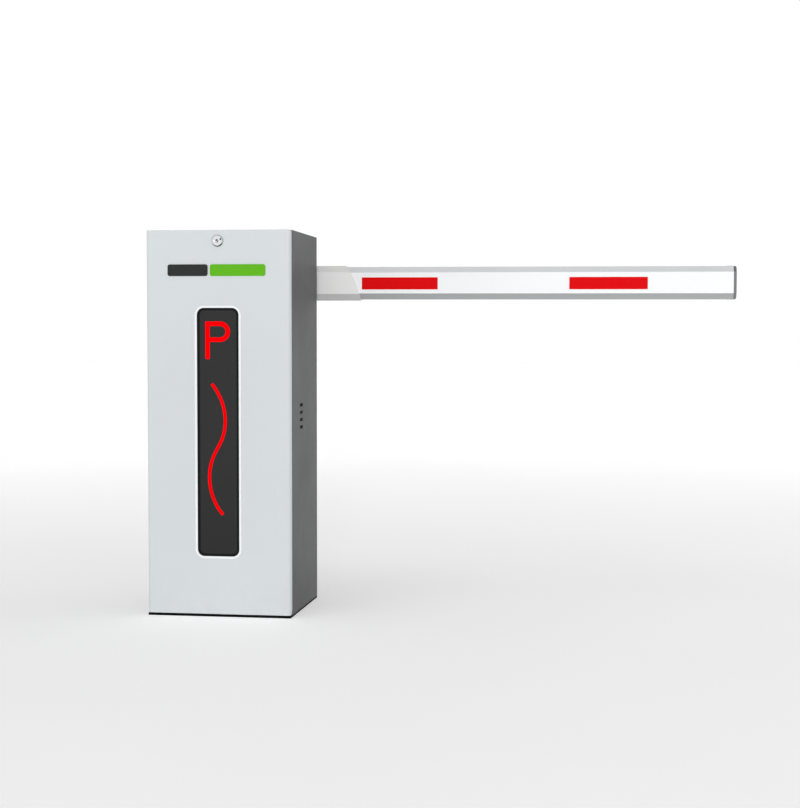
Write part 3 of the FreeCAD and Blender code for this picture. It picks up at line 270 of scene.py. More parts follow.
def plastic(slot, colour, rough, drift=0.04, coat=0.0):
    """Moulded plastic: spark-eroded grain, faint flow marks and rubbed edges."""
    t = Tree(slot)
    flow = t.noise(18.0, 4, 0.55, t.stretch(1.0, 1.0, 0.5))
    base = t.blend(t.spread(flow), shade(colour, 1.0 - drift), shade(colour, 1.0 + drift))
    rubbed = tuple(0.85 * c + 0.08 for c in colour)
    base = t.blend(t.times(t.edge_wear(0.0006), 0.25), base, rubbed)
    grainy = t.noise(SPARK_SCALE, 2, 0.55)
    roughness = t.spread(t.noise(30.0, 4), rough - 0.05, rough + 0.06)
    return t.finish(Base_Color=base, Roughness=roughness, Normal=t.bump(grainy, SPARK_DEPTH),
                    Coat_Weight=coat, Coat_Roughness=0.1, Specular_IOR_Level=0.5)


def rubber(slot, colour, rough=0.75):
    """Moulded rubber: matt bloom patches and a fine pebbled skin."""
    t = Tree(slot)
    bloom = t.span(t.noise(40.0, 6, 0.6), 0.45, 0.75)
    base = t.blend(bloom, colour, tuple(c * 1.2 + 0.006 for c in colour))
    skin = t.bump(t.cells(900.0), 0.00005)
    return t.finish(Base_Color=base, Roughness=t.span(bloom, 0.0, 1.0, rough - 0.08, rough + 0.1),
                    Normal=skin, Specular_IOR_Level=0.1)


def phosphated(slot, colour):
    """Dark phosphated steel plate: crystalline grain, mill streaks, bright worn edges and oil sheen."""
    t = Tree(slot)
    crystal = t.cells(1400.0)
    streak = t.noise(60.0, 4, 0.6, t.stretch(1.0, 1.0, 0.08))
    base = t.blend(t.span(crystal, 0.1, 0.7), shade(colour, 0.75), shade(colour, 1.35))
    base = t.blend(t.span(streak, 0.5, 0.75, 0.0, 0.35), base, shade(colour, 1.9))
    base = t.blend(t.times(t.edge_wear(0.001), 0.5), base, (0.3, 0.3, 0.31))
    oil = t.span(t.noise(13.0, 4), 0.45, 0.65)
    return t.finish(Base_Color=base, Metallic=0.6, Roughness=t.span(oil, 0.0, 1.0, 0.52, 0.32),
                    Normal=t.bump(crystal, 0.00004))


# ---- special materials ----
def reflector():
    """Red retroreflective sheeting: hexagon-like sealed cells with paler walls under a clear film."""
    t = Tree("red_reflector")
    red = (0.74, 0.0015, 0.003)
    wall = t.span(t.cells(330.0, "DISTANCE_TO_EDGE"), 0.03, 0.09, 1.0, 0.0)
    bead = t.noise(4200.0, 1)
    base = t.blend(t.span(bead, 0.35, 0.65), shade(red, 0.9), shade(red, 1.1))
    base = t.blend(t.times(wall, 0.35), base, (0.82, 0.01, 0.013))
    return t.finish(Base_Color=base, Roughness=t.spread(bead, 0.42, 0.55),
                    Normal=t.bump(wall, 0.00006), Specular_IOR_Level=0.04)


def smoked():
    """Smoked acrylic over a black box: near-black gloss with wiping marks and fine dust."""
    t = Tree("smoked_acrylic")
    wipe = t.noise(5.0, 6, 0.7, t.stretch(2.2, 2.2, 0.5))
    dust = t.span(t.noise(950.0, 1), 0.72, 0.8)
    base = t.blend(t.times(dust, 0.06), (0.006, 0.006, 0.006), (0.3, 0.3, 0.29))
    return t.finish(Base_Color=base, Roughness=t.span(wipe, 0.35, 0.7, 0.1, 0.24), IOR=1.49,
                    Specular_IOR_Level=0.42, Normal=t.bump(t.noise(7.0, 2), 0.0004, 0.12))


def led():
    """Lit red light guide: light sources glow through the diffuser, which is a little darker between them."""
    t = Tree("led_red")
    grain = t.spread(t.noise(260.0, 2), 0.96, 1.04)
    spots = t.span(t.cells(120.0), 0.0, 0.6, 1.1, 0.9)
    glow = t.times(grain, spots)
    return t.finish(Base_Color=(0.2, 0.0, 0.0005), Roughness=0.5, Emission_Color=(1.0, 0.0, 0.002),
                    Emission_Strength=glow, Normal=t.bump(t.cells(120.0), 0.0001), Specular_IOR_Level=0.0)


def circuit_board():
    """Green solder mask over copper tracks; the raised light sources are pale."""
    t = Tree("circuit_board")
    brick = t.node("ShaderNodeTexBrick", offset=0.5)
    mapping = t.node("ShaderNodeMapping")
    t.feed(mapping.inputs["Vector"], t.place)
    mapping.inputs["Rotation"].default_value = (math.radians(90), 0, 0)
    t.feed(brick.inputs["Vector"], mapping.outputs[0])
    brick.inputs["Scale"].default_value = 60.0
    brick.inputs["Mortar Size"].default_value = 0.03
    track = t.times(brick.outputs["Fac"], t.span(t.noise(25.0, 2), 0.4, 0.5))
    base = t.blend(track, (0.01, 0.085, 0.03), (0.03, 0.2, 0.07))
    front = t.maths("LESS_THAN", t.axis("Y"), BOARD_FACE)
    base = t.blend(front, base, (0.8, 0.8, 0.74))
    return t.finish(Base_Color=base, Roughness=t.spread(t.noise(80.0, 2), 0.26, 0.4),
                    Normal=t.bump(track, 0.00004))


def badge():
    """Two satin bars, dark grey and green, told apart by their place along the door."""
    t = Tree("badge")
    right = t.maths("GREATER_THAN", t.axis("X"), BADGE_SPLIT)
    fleck = t.spread(t.noise(700.0, 2))
    dark = t.blend(fleck, (0.016, 0.017, 0.017), (0.024, 0.025, 0.025))
    green = t.blend(fleck, (0.105, 0.44, 0.002), (0.12, 0.47, 0.004))
    return t.finish(Base_Color=t.blend(right, dark, green),
                    Roughness=t.spread(t.noise(45.0, 3), 0.3, 0.4),
                    Normal=t.bump(t.noise(500.0, 2), 0.00004), Specular_IOR_Level=0.2)


def chrome():
    """Polished plate with hairline scratches, a little haze, and painted shade on its undersides."""
    t = Tree("chrome")
    scratch = t.span(t.noise(60.0, 8, 0.8, t.stretch(1.0, 1.0, 9.0)), 0.6, 0.68)
    haze = t.noise(90.0, 4)
    unshaded = t.blend(t.times(scratch, 0.3), (0.76, 0.77, 0.78), (0.52, 0.52, 0.53))
    # painted shade: faces that look downwards are darkened to near black
    underside_shade = t.span(t.facing("Z"), -0.25, -0.6)
    base = t.blend(underside_shade, unshaded, (0.1, 0.1, 0.11))
    return t.finish(Base_Color=base, Metallic=1.0, Roughness=t.spread(haze, 0.07, 0.16),
                    Normal=t.bump(scratch, 0.00001))


def spring_wire():
    """Oiled spring steel: a film of grease over a fine grain."""
    t = Tree("spring_wire")
    film = t.span(t.noise(45.0, 5, 0.6), 0.4, 0.7)
    base = t.blend(film, (0.14, 0.14, 0.15), (0.24, 0.23, 0.22))
    return t.finish(Base_Color=base, Metallic=0.95, Roughness=t.span(film, 0.0, 1.0, 0.36, 0.22),
                    Normal=t.bump(t.noise(900.0, 2), 0.00002))


BOARD_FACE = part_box("led_board")[1].y - 0.0016  # the light sources stand in front of this
BADGE_SPLIT = (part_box("name_plate")[0].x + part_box("name_plate")[1].x) / 2 - 0.02

paint("door_paint", (0.65, 0.685, 0.704), 0.44, dirt=0.1)
paint("housing_paint", (0.086, 0.089, 0.09), 0.5, dirt=0.12, gloss=0.26)
paint("base_paint", (0.0045, 0.0045, 0.0045), 0.62, gloss=0.05)
# painted shade and light on the sloping faces of the boom and the sleeve
paint("boom_paint", (0.91, 0.93, 0.94), 0.34, slope_shade=(0.44, 0.88))
paint("sleeve_paint", (0.86, 0.86, 0.855), 0.4, slope_shade=(0.66, 1.03))
cast("motor_paint", (0.02, 0.02, 0.022), 0.42, 0.3, 700.0, 0.00008)
galvanised("zinc_steel", (0.5, 0.51, 0.52), 0.38)
brushed("supply_metal", (0.62, 0.63, 0.64), 0.34, "x")
brushed("ground_steel", (0.6, 0.6, 0.61), 0.2, "x")
brushed("rod_steel", (0.58, 0.55, 0.44), 0.3, "z")
brushed("fastener_zinc", (0.64, 0.64, 0.62), 0.28, "y")
cast("bearing_iron", (0.055, 0.095, 0.13), 0.45, 0.0)
cast("cast_aluminium", (0.34, 0.345, 0.35), 0.5)
phosphated("lever_steel", (0.055, 0.058, 0.062))
spring_wire()
brushed("wheel_bronze", (0.62, 0.38, 0.14), 0.25, "y")
rubber("rubber", (0.006, 0.006, 0.006))
rubber("cable_sheath", (0.02, 0.02, 0.021), 0.55)
plastic("black_plastic", (0.018, 0.018, 0.019), 0.48)
plastic("cap_plastic", (0.165, 0.17, 0.175), 0.45)
plastic("bezel_white", (0.88, 0.9, 0.92), 0.3, drift=0.02, coat=0.2)
plastic("unit_plastic", (0.52, 0.54, 0.54), 0.5)
plastic("breaker_plastic", (0.8, 0.8, 0.77), 0.42)
plastic("toggle_plastic", (0.018, 0.028, 0.095), 0.36)
plastic("button_green", (0.02, 0.3, 0.05), 0.26, coat=0.3)
plastic("button_red", (0.56, 0.012, 0.01), 0.26, coat=0.3)
plastic("button_blue", (0.012, 0.08, 0.38), 0.26, coat=0.3)
reflector()
smoked()
led()
circuit_board()
badge()
chrome()


def dress_nodes():
    for part in frame["record"]["subparts"]:
        obj = NODES[part["node"]]
        obj.data.materials.clear()
        obj.data.materials.append(LIBRARY[part["material_slot"]])


# ---- building pieces ----
X_AXIS, Y_AXIS, Z_AXIS = Vector((1, 0, 0)), Vector((0, 1, 0)), Vector((0, 0, 1))
SMOOTH_ANGLE, BEVEL_ANGLE = math.radians(32), math.radians(40)
CORNER_STEPS = 5


def new_object(name, data):
    made = bpy.data.objects.new(name, data)
    bpy.context.scene.collection.objects.link(made)
    return made


def middle(node):
    low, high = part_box(node)
    return (low + high) / 2


class Form:
    """A mesh of closed solids, added one by one; lengths are in metres."""

    def __init__(self):
        self.mesh = bmesh.new()

    def ring(self, centre, side, up, radius, count):
        """A ring of vertices, or a single one where the radius is nothing."""
        if radius == 0:
            return [self.mesh.verts.new(centre)]
        turns = [2 * math.pi * (k + 0.5) / count for k in range(count)]
        ways = [math.cos(t) * side + math.sin(t) * up for t in turns]
        return [self.mesh.verts.new(centre + radius * way) for way in ways]

    def join(self, a, b):
        """Faces between two rings, one of which may have fewer vertices."""
        if len(a) < len(b):
            a, b = b, a
        many, few = len(a), len(b)
        for i in range(many):
            j, k = i * few // many % few, (i + 1) * few // many % few
            face = [a[i], a[(i + 1) % many], b[k]]
            if j != k:
                face.append(b[j])
            self.mesh.faces.new(face)

    def lathe(self, centre, axis, profile, closed=False):
        """Turn (radius, distance, sides) points round an axis; a closed profile makes a ring."""
        axis = axis.normalized()
        side = axis.orthogonal().normalized()
        up = axis.cross(side)
        rings = [self.ring(centre + axis * along, side, up, radius, count)
                 for radius, along, count in profile]
        for a, b in zip(rings, rings[1:]):
            self.join(a, b)
        if closed:
            self.join(rings[-1], rings[0])
        return self

    def washer(self, centre, axis, inner, outer, thick, sides=32):
        """A flat ring with small chamfers on its outer edge."""
        edge = min(thick, outer - inner) * 0.2
        rim = [(inner, 0), (outer - edge, 0), (outer, edge), (outer, thick - edge), (outer - edge, thick),
               (inner, thick)]
        return self.lathe(centre, axis, [(r, h, sides) for r, h in rim], True)

    def torus(self, centre, axis, radius, thick):
        turns = [2 * math.pi * k / 8 for k in range(8)]
        rim = [(radius + thick * math.cos(t), thick * math.sin(t), 40) for t in turns]
        return self.lathe(centre, axis, rim, True)

    def hex_head(self, centre, axis, across, height):
        """A hexagon head with a turned chamfer and a slightly dished top."""
        radius = across / math.sqrt(3)
        return self.lathe(centre, axis, [(0, 0, 1), (radius, 0, 6), (radius, height * 0.82, 6),
                                         (across * 0.47, height, 24), (across * 0.34, height, 24),
                                         (across * 0.3, height * 0.94, 24), (0, height * 0.94, 1)])

    def socket_screw(self, centre, axis, radius, height):
        """A domed screw head with a hexagon socket."""
        bottom = height * 0.35
        return self.lathe(centre, axis, [(0, 0, 1), (radius, 0, 24), (radius, height * 0.4, 24),
                                         (radius * 0.88, height * 0.8, 24), (radius * 0.62, height, 24),
                                         (radius * 0.46, height, 6), (radius * 0.46, bottom, 6),
                                         (0, bottom, 1)])

    def dome(self, centre, axis, radius, height):
        """A round lens or rivet head: a short collar under a spherical cap."""
        cap = [(radius * math.cos(t), height * (0.4 + 0.6 * math.sin(t)), 20)
               for t in (math.radians(18 * k) for k in range(5))]
        return self.lathe(centre, axis, [(0, 0, 1), (radius, 0, 20)] + cap + [(0, height, 1)])

    def tube(self, points, radius, sides):
        """A round tube along a list of points, closed at both ends."""
        up = Z_AXIS
        last = len(points) - 1
        rings = []
        for i, point in enumerate(points):
            way = (points[min(i + 1, last)] - points[max(i - 1, 0)]).normalized()
            side = way.cross(up)
            if side.length < 1e-4:
                side = way.orthogonal()
            side.normalize()
            up = side.cross(way)
            rings.append(self.ring(point, side, up, radius, sides))
        for a, b in zip(rings, rings[1:]):
            self.join(a, b)
        self.mesh.faces.new(rings[0])
        self.mesh.faces.new(rings[-1])
        return self

    def slab(self, points, depth):
        """A plate with the outline of a list of points, extruded by a vector."""
        near = [self.mesh.verts.new(p) for p in points]
        far = [self.mesh.verts.new(p + depth) for p in points]
        self.join(near, far)
        self.mesh.faces.new(near)
        self.mesh.faces.new(far)
        return self

    def frame(self, outer, inner, depth):
        """A flat frame between two outlines with the same number of points, extruded by a vector."""
        loops = [[self.mesh.verts.new(p) for p in points]
                 for points in (outer, [p + depth for p in outer], [p + depth for p in inner], inner)]
        for a, b in zip(loops, loops[1:] + loops[:1]):
            self.join(a, b)
        return self

    def piece(self, name, slot, body, rounding=0.0):
        """Finish the mesh as an object with its slot's material, riding on a body."""
        bmesh.ops.recalc_face_normals(self.mesh, faces=self.mesh.faces)
        for edge in self.mesh.edges:
            edge.smooth = edge.calc_face_angle(0) < SMOOTH_ANGLE
        data = bpy.data.meshes.new(name)
        self.mesh.to_mesh(data)
        self.mesh.free()
        data.polygons.foreach_set("use_smooth", [True] * len(data.polygons))
        data.materials.append(LIBRARY[slot])
        made = new_object(name, data)
        if rounding:
            bevel = made.modifiers.new("rounding", "BEVEL")
            bevel.width = rounding
            bevel.segments = 2
            bevel.angle_limit = BEVEL_ANGLE
        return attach(made, body)


def outline(low, high, radius, axes=(0, 2)):
    """The points of a rounded rectangle between two corners, in the plane of two axes, at low's depth."""
    a, b = axes
    points = []
    for corner in range(4):
        centre = low.copy()
        centre[a] = high[a] - radius if corner in (0, 3) else low[a] + radius
        centre[b] = high[b] - radius if corner in (0, 1) else low[b] + radius
        for step in range(CORNER_STEPS + 1):
            turn = math.pi / 2 * (corner + step / CORNER_STEPS)
            point = centre.copy()
            point[a] += radius * math.cos(turn)
            point[b] += radius * math.sin(turn)
            points.append(point)
    return points


# ---- places and small fasteners ----
SHAFT = middle("bearing_inner_rings")
CRANK = middle("gearbox_cover")
MOTOR = middle("worm_shaft")
LOCK = middle("lock_barrel")
DOOR_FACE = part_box("front_door")[0].y

# Rings: inner radius, outer radius, thickness.
PIN_CLIP = (0.007, 0.0112, 0.0012)
SHAFT_WASHER = (0.003, 0.0125, 0.0022)
BEARING_SEAL = (0.0228, 0.03, 0.001)
SHAFT_SEAL = (0.0195, 0.031, 0.004)
BOOM_WASHER = (0.0054, 0.0112, 0.0018)
COVER_GASKET = (0.055, 0.0567, 0.001)
SIGHT_RIM = (0.0048, 0.0085, 0.0035)
FILLER_WASHER = (0.006, 0.0112, 0.0016)
GEARBOX_WASHER = (0.0045, 0.0092, 0.0014)
BLOCK_WASHER = (0.0065, 0.0138, 0.0018)
MOTOR_GLAND = (0.0088, 0.0118, 0.0055)
SUPPLY_GLAND = (0.0078, 0.0118, 0.0055)
CABLE_TIE = (0.0036, 0.0047, 0.0028)
BUTTON_COLLAR = (0.0076, 0.0098, 0.0012)
FERRULE = (0.0015, 0.0021, 0.0042)
GROMMET = (0.0017, 0.0034, 0.003)
BREAKER_WELL = (0.0034, 0.005, 0.001)
# the lock's thin rubber ring, which also serves as painted shade round the lock
LOCK_SHADE_GASKET = (0.012, 0.0151, 0.0009)
# the black ring round the keyhole, which also serves as the keyhole's painted shade
KEY_ROSETTE_SHADE = (0.0018, 0.0036, 0.0004)
HINGE_CLIP = (0.0022, 0.0046, 0.001)

# Hexagon heads: width across flats, height.
SHAFT_BOLT = (0.013, 0.0053)
FILLER_PLUG = (0.017, 0.0075)

# Socket screws and domes: radius, height.
BEARING_SCREW = (0.0022, 0.001)
HUB_SCREW = (0.0032, 0.0014)
RIVET = (0.0026, 0.0014)
SIGHT_GLASS = (0.0049, 0.0026)
MOTOR_BOX_SCREW = (0.0026, 0.0018)
UNIT_SCREW = (0.0031, 0.0018)
UNIT_LAMP = (0.0021, 0.0018)
TERMINAL_SCREW = (0.0024, 0.003)
BREAKER_SCREW = (0.0031, 0.0009)
SUPPLY_SCREW = (0.0023, 0.0014)
SUPPLY_LAMP = (0.0018, 0.0016)
LIGHT_BOX_SCREW = (0.0034, 0.0024)
# the black dot on the lock is a mark and also a painted dark reflection
LOCK_MARK_AND_REFLECTION = (0.0024, 0.0005)

SINK, HAIR = 0.0002, 0.0001  # how far a piece reaches into the one that carries it
CABLE = 0.0035  # radius of the motor's cable


def on_axis(centre, y):
    """A point at a depth on the line through a centre along Y."""
    return Vector((centre.x, y, centre.z))


def corners(low, high, x_in, z_in):
    """The four (x, z) places a little inside a box's corners, seen from the front."""
    return [(x, z) for x in (low.x + x_in, high.x - x_in) for z in (low.z + z_in, high.z - z_in)]


# ---- springs ----
WIRE, COIL, LOOP = 0.0025, 0.0155, 0.012  # radii of the wire, the coil and the end loops
COIL_TURNS = 42
COIL_STEPS = 24  # points along each turn
LEAD_TURN = 200.0  # degrees over which a hook opens out to the coil
LEAD_RISE = 0.6  # and how many pitches it climbs there
HANGER_HEAD = 0.014  # radius of the hanger's cheeks round the lever's pin
EYE_SIZE = 0.0125  # outer radius of an eye bolt's ring


def hook_path(pitch, turned):
    """From a hook's free end round its loop and out to the coil; the bottom one lies below the origin."""
    bends = [math.radians(330 - 300 * i / 40) for i in range(41)]
    points = [Vector((LOOP * math.sin(t), 0, LOOP * (math.cos(t) - 1))) for t in bends]
    for i in range(1, 25):
        share = i / 24
        out = COIL * math.sin(share * math.pi / 2)
        turn = math.radians(180 + LEAD_TURN * share ** 2)
        points.append(Vector((out * math.cos(turn), out * math.sin(turn), pitch * LEAD_RISE * share)))
    return [Vector((p.x, -p.y, -p.z)) if turned else p for p in points]


def add_spring(name, y):
    """A hook on the eye bolt, a coil, and a hook on the hanger."""
    low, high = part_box("counterbalance_springs")
    x = (low.x + high.x) / 2
    bottom = Vector((x, y, low.z + WIRE + 2 * LOOP))
    top = Vector((x, y, high.z - WIRE - 2 * LOOP))
    pitch = (top.z - bottom.z) / (COIL_TURNS + 2)
    first, last = bottom.z + LEAD_RISE * pitch, top.z - LEAD_RISE * pitch
    lead = math.radians(180 + LEAD_TURN)
    sweep = 2 * math.pi * COIL_TURNS + (-2 * lead) % (2 * math.pi)
    steps = COIL_TURNS * COIL_STEPS
    coil = []
    for i in range(steps + 1):
        turn = lead + sweep * i / steps
        rise = first + (last - first) * i / steps
        coil.append(Vector((x + COIL * math.cos(turn), y + COIL * math.sin(turn), rise)))
    body = Form().tube(coil, WIRE, 10).piece(name, "spring_wire", "cabinet")
    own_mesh(body)
    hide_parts("counterbalance_springs")
    low_hook = [bottom + p for p in hook_path(pitch, False)]
    high_hook = [top + p for p in hook_path(pitch, True)]
    Form().tube(low_hook, WIRE, 10).piece(name + "_low_hook", "spring_wire", "cabinet")
    Form().tube(high_hook, WIRE, 10).piece(name + "_high_hook", "spring_wire", "spring_yoke")


def add_springs():
    low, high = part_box("spring_eye_bolts")
    add_spring("front_spring", low.y + EYE_SIZE)
    add_spring("rear_spring", high.y - EYE_SIZE)


# ---- shaft, bearings and boom ----
def add_shaft_details():
    pin = middle("spring_hanger")
    pin.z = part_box("spring_hanger")[1].z - HANGER_HEAD
    low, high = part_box("spring_lever")
    overhang = 0.0007  # of the pin's ends past the clips
    clips = Form()
    for y in (low.y + overhang, high.y - overhang - PIN_CLIP[2]):
        clips.washer(on_axis(pin, y), Y_AXIS, *PIN_CLIP)
    clips.piece("lever_pin_clips", "fastener_zinc", "boom")

    end = on_axis(SHAFT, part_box("main_shaft")[0].y)
    Form().washer(end, -Y_AXIS, *SHAFT_WASHER).piece("shaft_end_washer", "fastener_zinc", "boom")
    head = Form().hex_head(end - SHAFT_WASHER[2] * Y_AXIS, -Y_AXIS, *SHAFT_BOLT)
    head.piece("shaft_end_bolt", "fastener_zinc", "boom")

    insert_half, collar_middle, collar_radius = 0.0128, 0.016, 0.0197
    seals, screws = Form(), Form()
    for node in ("front_bearing_block", "rear_bearing_block"):
        y = middle(node).y
        for side in (-1, 1):
            seals.washer(on_axis(SHAFT, y + side * insert_half), side * Y_AXIS, *BEARING_SEAL, 48)
        for way in (X_AXIS, Z_AXIS):
            place = on_axis(SHAFT, y + collar_middle) + collar_radius * way
            screws.socket_screw(place, way, *BEARING_SCREW)
    seals.piece("bearing_seals", "rubber", "cabinet")
    screws.piece("bearing_set_screws", "fastener_zinc", "boom")


def add_hub_details():
    seal_place = on_axis(SHAFT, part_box("housing_shell")[1].y - 0.0005)
    Form().washer(seal_place, Y_AXIS, *SHAFT_SEAL, 48).piece("shaft_dust_seal", "rubber", "cabinet")
    hub_low, hub_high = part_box("boom_hub")
    collar_middle, collar_radius, flange = 0.006, 0.0296, 0.01
    screws = Form()
    for way in (X_AXIS, Z_AXIS, -X_AXIS):
        place = on_axis(SHAFT, hub_low.y + collar_middle) + collar_radius * way
        screws.socket_screw(place, way, *HUB_SCREW)
    screws.piece("hub_set_screws", "fastener_zinc", "boom")

    head_x, head_z = 0.00953, 0.00825  # half of a boom bolt's head, over its corners and its flats
    sleeve_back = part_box("boom_sleeve")[1].y
    flange_front = hub_high.y - flange
    washers = Form()
    for x, z in corners(*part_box("boom_bolts"), head_x, head_z):
        washers.washer(Vector((x, sleeve_back - SINK, z)), Y_AXIS, *BOOM_WASHER)
        washers.washer(Vector((x, flange_front + SINK, z)), -Y_AXIS, *BOOM_WASHER)
    washers.piece("boom_bolt_washers", "fastener_zinc", "boom")


def add_boom_details():
    """Low rivets hold the end cap's plug in the tube, above and below."""
    low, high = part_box("boom_end_cap")
    y = (low.y + high.y) / 2
    rivets = Form()
    for z, way in ((high.z, Z_AXIS), (low.z, -Z_AXIS)):
        for x in (low.x + 0.006, low.x + 0.014):
            rivets.dome(Vector((x, y, z)) - SINK * way, way, *RIVET)
    rivets.piece("end_cap_rivets", "fastener_zinc", "boom")


# ---- drive ----
def add_gearbox_details():
    cover_low, cover_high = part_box("gearbox_cover")
    middle_cap, cover_depth, sight_drop = 0.004, 0.0062, 0.038
    face = cover_low.y + middle_cap  # the cover's flat front
    gasket = Form().washer(on_axis(CRANK, face + cover_depth), Y_AXIS, *COVER_GASKET, 72)
    gasket.piece("cover_gasket", "rubber", "cabinet")

    eye = Vector((CRANK.x, face, CRANK.z - sight_drop))
    Form().washer(eye, -Y_AXIS, *SIGHT_RIM).piece("sight_glass_rim", "wheel_bronze", "cabinet")
    Form().dome(eye, -Y_AXIS, *SIGHT_GLASS).piece("sight_glass", "smoked_acrylic", "cabinet")

    top = cover_high.z  # the casing's flat top is level with the cover
    filler, breather = (Vector((CRANK.x + dx, MOTOR.y, top)) for dx in (-0.036, 0.036))
    Form().washer(filler, Z_AXIS, *FILLER_WASHER).piece("filler_washer", "wheel_bronze", "cabinet")
    plug = Form().hex_head(filler + FILLER_WASHER[2] * Z_AXIS, Z_AXIS, *FILLER_PLUG)
    plug.piece("filler_plug", "fastener_zinc", "cabinet")
    cap = [(0, 0, 1), (0.006, 0, 24), (0.006, 0.004, 24), (0.0095, 0.005, 24), (0.01, 0.0065, 24),
           (0.01, 0.012, 24), (0.0085, 0.014, 24), (0.003, 0.015, 24), (0, 0.015, 1)]
    Form().lathe(breather, Z_AXIS, cap).piece("breather_cap", "black_plastic", "cabinet")

    washers = Form()
    foot_x, foot_y, foot_height = 0.034, 0.008, 0.008
    low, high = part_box("gearbox_casing")
    for x in (-foot_x, foot_x):
        for y in (low.y + foot_y, high.y - foot_y):
            washers.washer(Vector((x, y, low.z + foot_height - SINK)), Z_AXIS, *GEARBOX_WASHER)
    ear, ear_height = 0.022, 0.0138
    for node in ("front_bearing_block", "rear_bearing_block"):
        low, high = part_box(node)
        for x in (low.x + ear, high.x - ear):
            place = Vector((x, (low.y + high.y) / 2, low.z + ear_height))
            washers.washer(place, Z_AXIS, *BLOCK_WASHER)
    washers.piece("drive_washers", "fastener_zinc", "cabinet")


FAN_BLADES = 9
GUARD_RINGS = (0.0085, 0.015, 0.0215, 0.028)
GUARD_SPOKES = 6
GUARD_WIRE = 0.0006


def add_motor_details():
    """A cooling fan behind a wire guard in a short cowl, and the terminal box's screws and gland nut."""
    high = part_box("motor_casing")[1]
    end = Vector((high.x, MOTOR.y, MOTOR.z))
    rim = [(0.0285, -0.006), (0.033, -0.006), (0.033, 0.0085), (0.0322, 0.0095), (0.03, 0.0095),
           (0.0285, 0.0075)]
    cowl = Form().lathe(end, X_AXIS, [(r, h, 64) for r, h in rim], True)
    cowl.piece("fan_cowl", "motor_paint", "cabinet")
    guard = Form()
    for radius in GUARD_RINGS:
        guard.torus(end + 0.0078 * X_AXIS, X_AXIS, radius, GUARD_WIRE)
    hub = end + 0.0068 * X_AXIS
    for k in range(GUARD_SPOKES):
        turn = 2 * math.pi * k / GUARD_SPOKES
        way = Vector((0, math.cos(turn), math.sin(turn)))
        guard.tube([hub + 0.006 * way, hub + 0.0292 * way], GUARD_WIRE, 8)
    guard.piece("fan_guard", "fastener_zinc", "cabinet")
    boss = [(0, 0.0004, 1), (0.0085, 0.0004, 32), (0.0085, 0.0045, 32), (0, 0.005, 1)]
    fan = Form().lathe(end, X_AXIS, boss)
    for k in range(FAN_BLADES):
        turn = 2 * math.pi * k / FAN_BLADES
        out = Vector((0, math.cos(turn), math.sin(turn)))
        across = Vector((0.0018, -math.sin(turn) * 0.0046, math.cos(turn) * 0.0046))
        root, tip = end + 0.0024 * X_AXIS + 0.0075 * out, end + 0.0024 * X_AXIS + 0.0255 * out
        blade = [root - across * 0.6, tip - across, tip + across, root + across * 0.6]
        fan.slab(blade, 0.0008 * X_AXIS)
    fan.piece("cooling_fan", "black_plastic", "rotor")

    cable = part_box("motor_cable")[1]
    gland = Vector((cable.x - CABLE, MOTOR.y + 0.02, cable.z - CABLE))
    Form().washer(gland, Y_AXIS, *MOTOR_GLAND, 6).piece("motor_gland_nut", "black_plastic", "cabinet")
    screws = Form()
    for dx in (-0.018, 0.018):
        for dy in (-0.015, 0.015):
            place = Vector((gland.x + dx, MOTOR.y + dy, high.z - HAIR))
            screws.socket_screw(place, Z_AXIS, *MOTOR_BOX_SCREW)
    screws.piece("terminal_box_screws", "fastener_zinc", "cabinet")


def add_cable_ties():
    """White ties round the motor's lead, each with its small lock."""
    x, y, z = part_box("motor_cable")[1] - Vector((CABLE, CABLE, CABLE))
    inner, _, width = CABLE_TIE
    lock_half_x, lock_half_y, lock_half_z = 0.0018, 0.0026, 0.002
    ties = Form()
    for place, axis in (((x, y, 0.4), Z_AXIS), ((x, -0.006, z), Y_AXIS), ((x, 0.05, z), Y_AXIS)):
        place = Vector(place)
        ties.washer(place, axis, *CABLE_TIE)
        lock = place + axis * (width / 2 - lock_half_z) - X_AXIS * (inner + 0.0022)
        right, up = X_AXIS * lock_half_x, X_AXIS.cross(axis) * lock_half_y
        ties.slab([lock - right - up, lock + right - up, lock + right + up, lock - right + up],
                  axis * 2 * lock_half_z)
    ties.piece("cable_ties", "breaker_plastic", "cabinet", 0.0003)


# ---- control unit, supply and terminals ----
SEGMENTS = ((-1, 1, 1, 1), (1, 1, 1, 0), (1, 0, 1, -1), (-1, -1, 1, -1), (-1, 0, -1, -1), (-1, 1, -1, 0))
SEGMENT_THICK, SEGMENT_GAP = 0.0011, 0.0004
DIGIT_HALF = (0.0048, 0.01)
WIRE_SLOTS = ("button_red", "button_blue", "button_green", "breaker_plastic", "cable_sheath",
              "toggle_plastic", "unit_plastic")


def add_zero(form, centre, half_width, half_height, depth):
    """A seven-segment nought: six bars with pointed ends."""
    for x0, z0, x1, z1 in SEGMENTS:
        a = centre + Vector((x0 * half_width, 0, z0 * half_height))
        b = centre + Vector((x1 * half_width, 0, z1 * half_height))
        way = (b - a).normalized()
        side = Vector((-way.z, 0, way.x)) * SEGMENT_THICK
        point = way * SEGMENT_THICK
        a, b = a + way * SEGMENT_GAP, b - way * SEGMENT_GAP
        form.slab([a, a + point + side, b - point + side, b, b - point - side, a + point - side], depth)


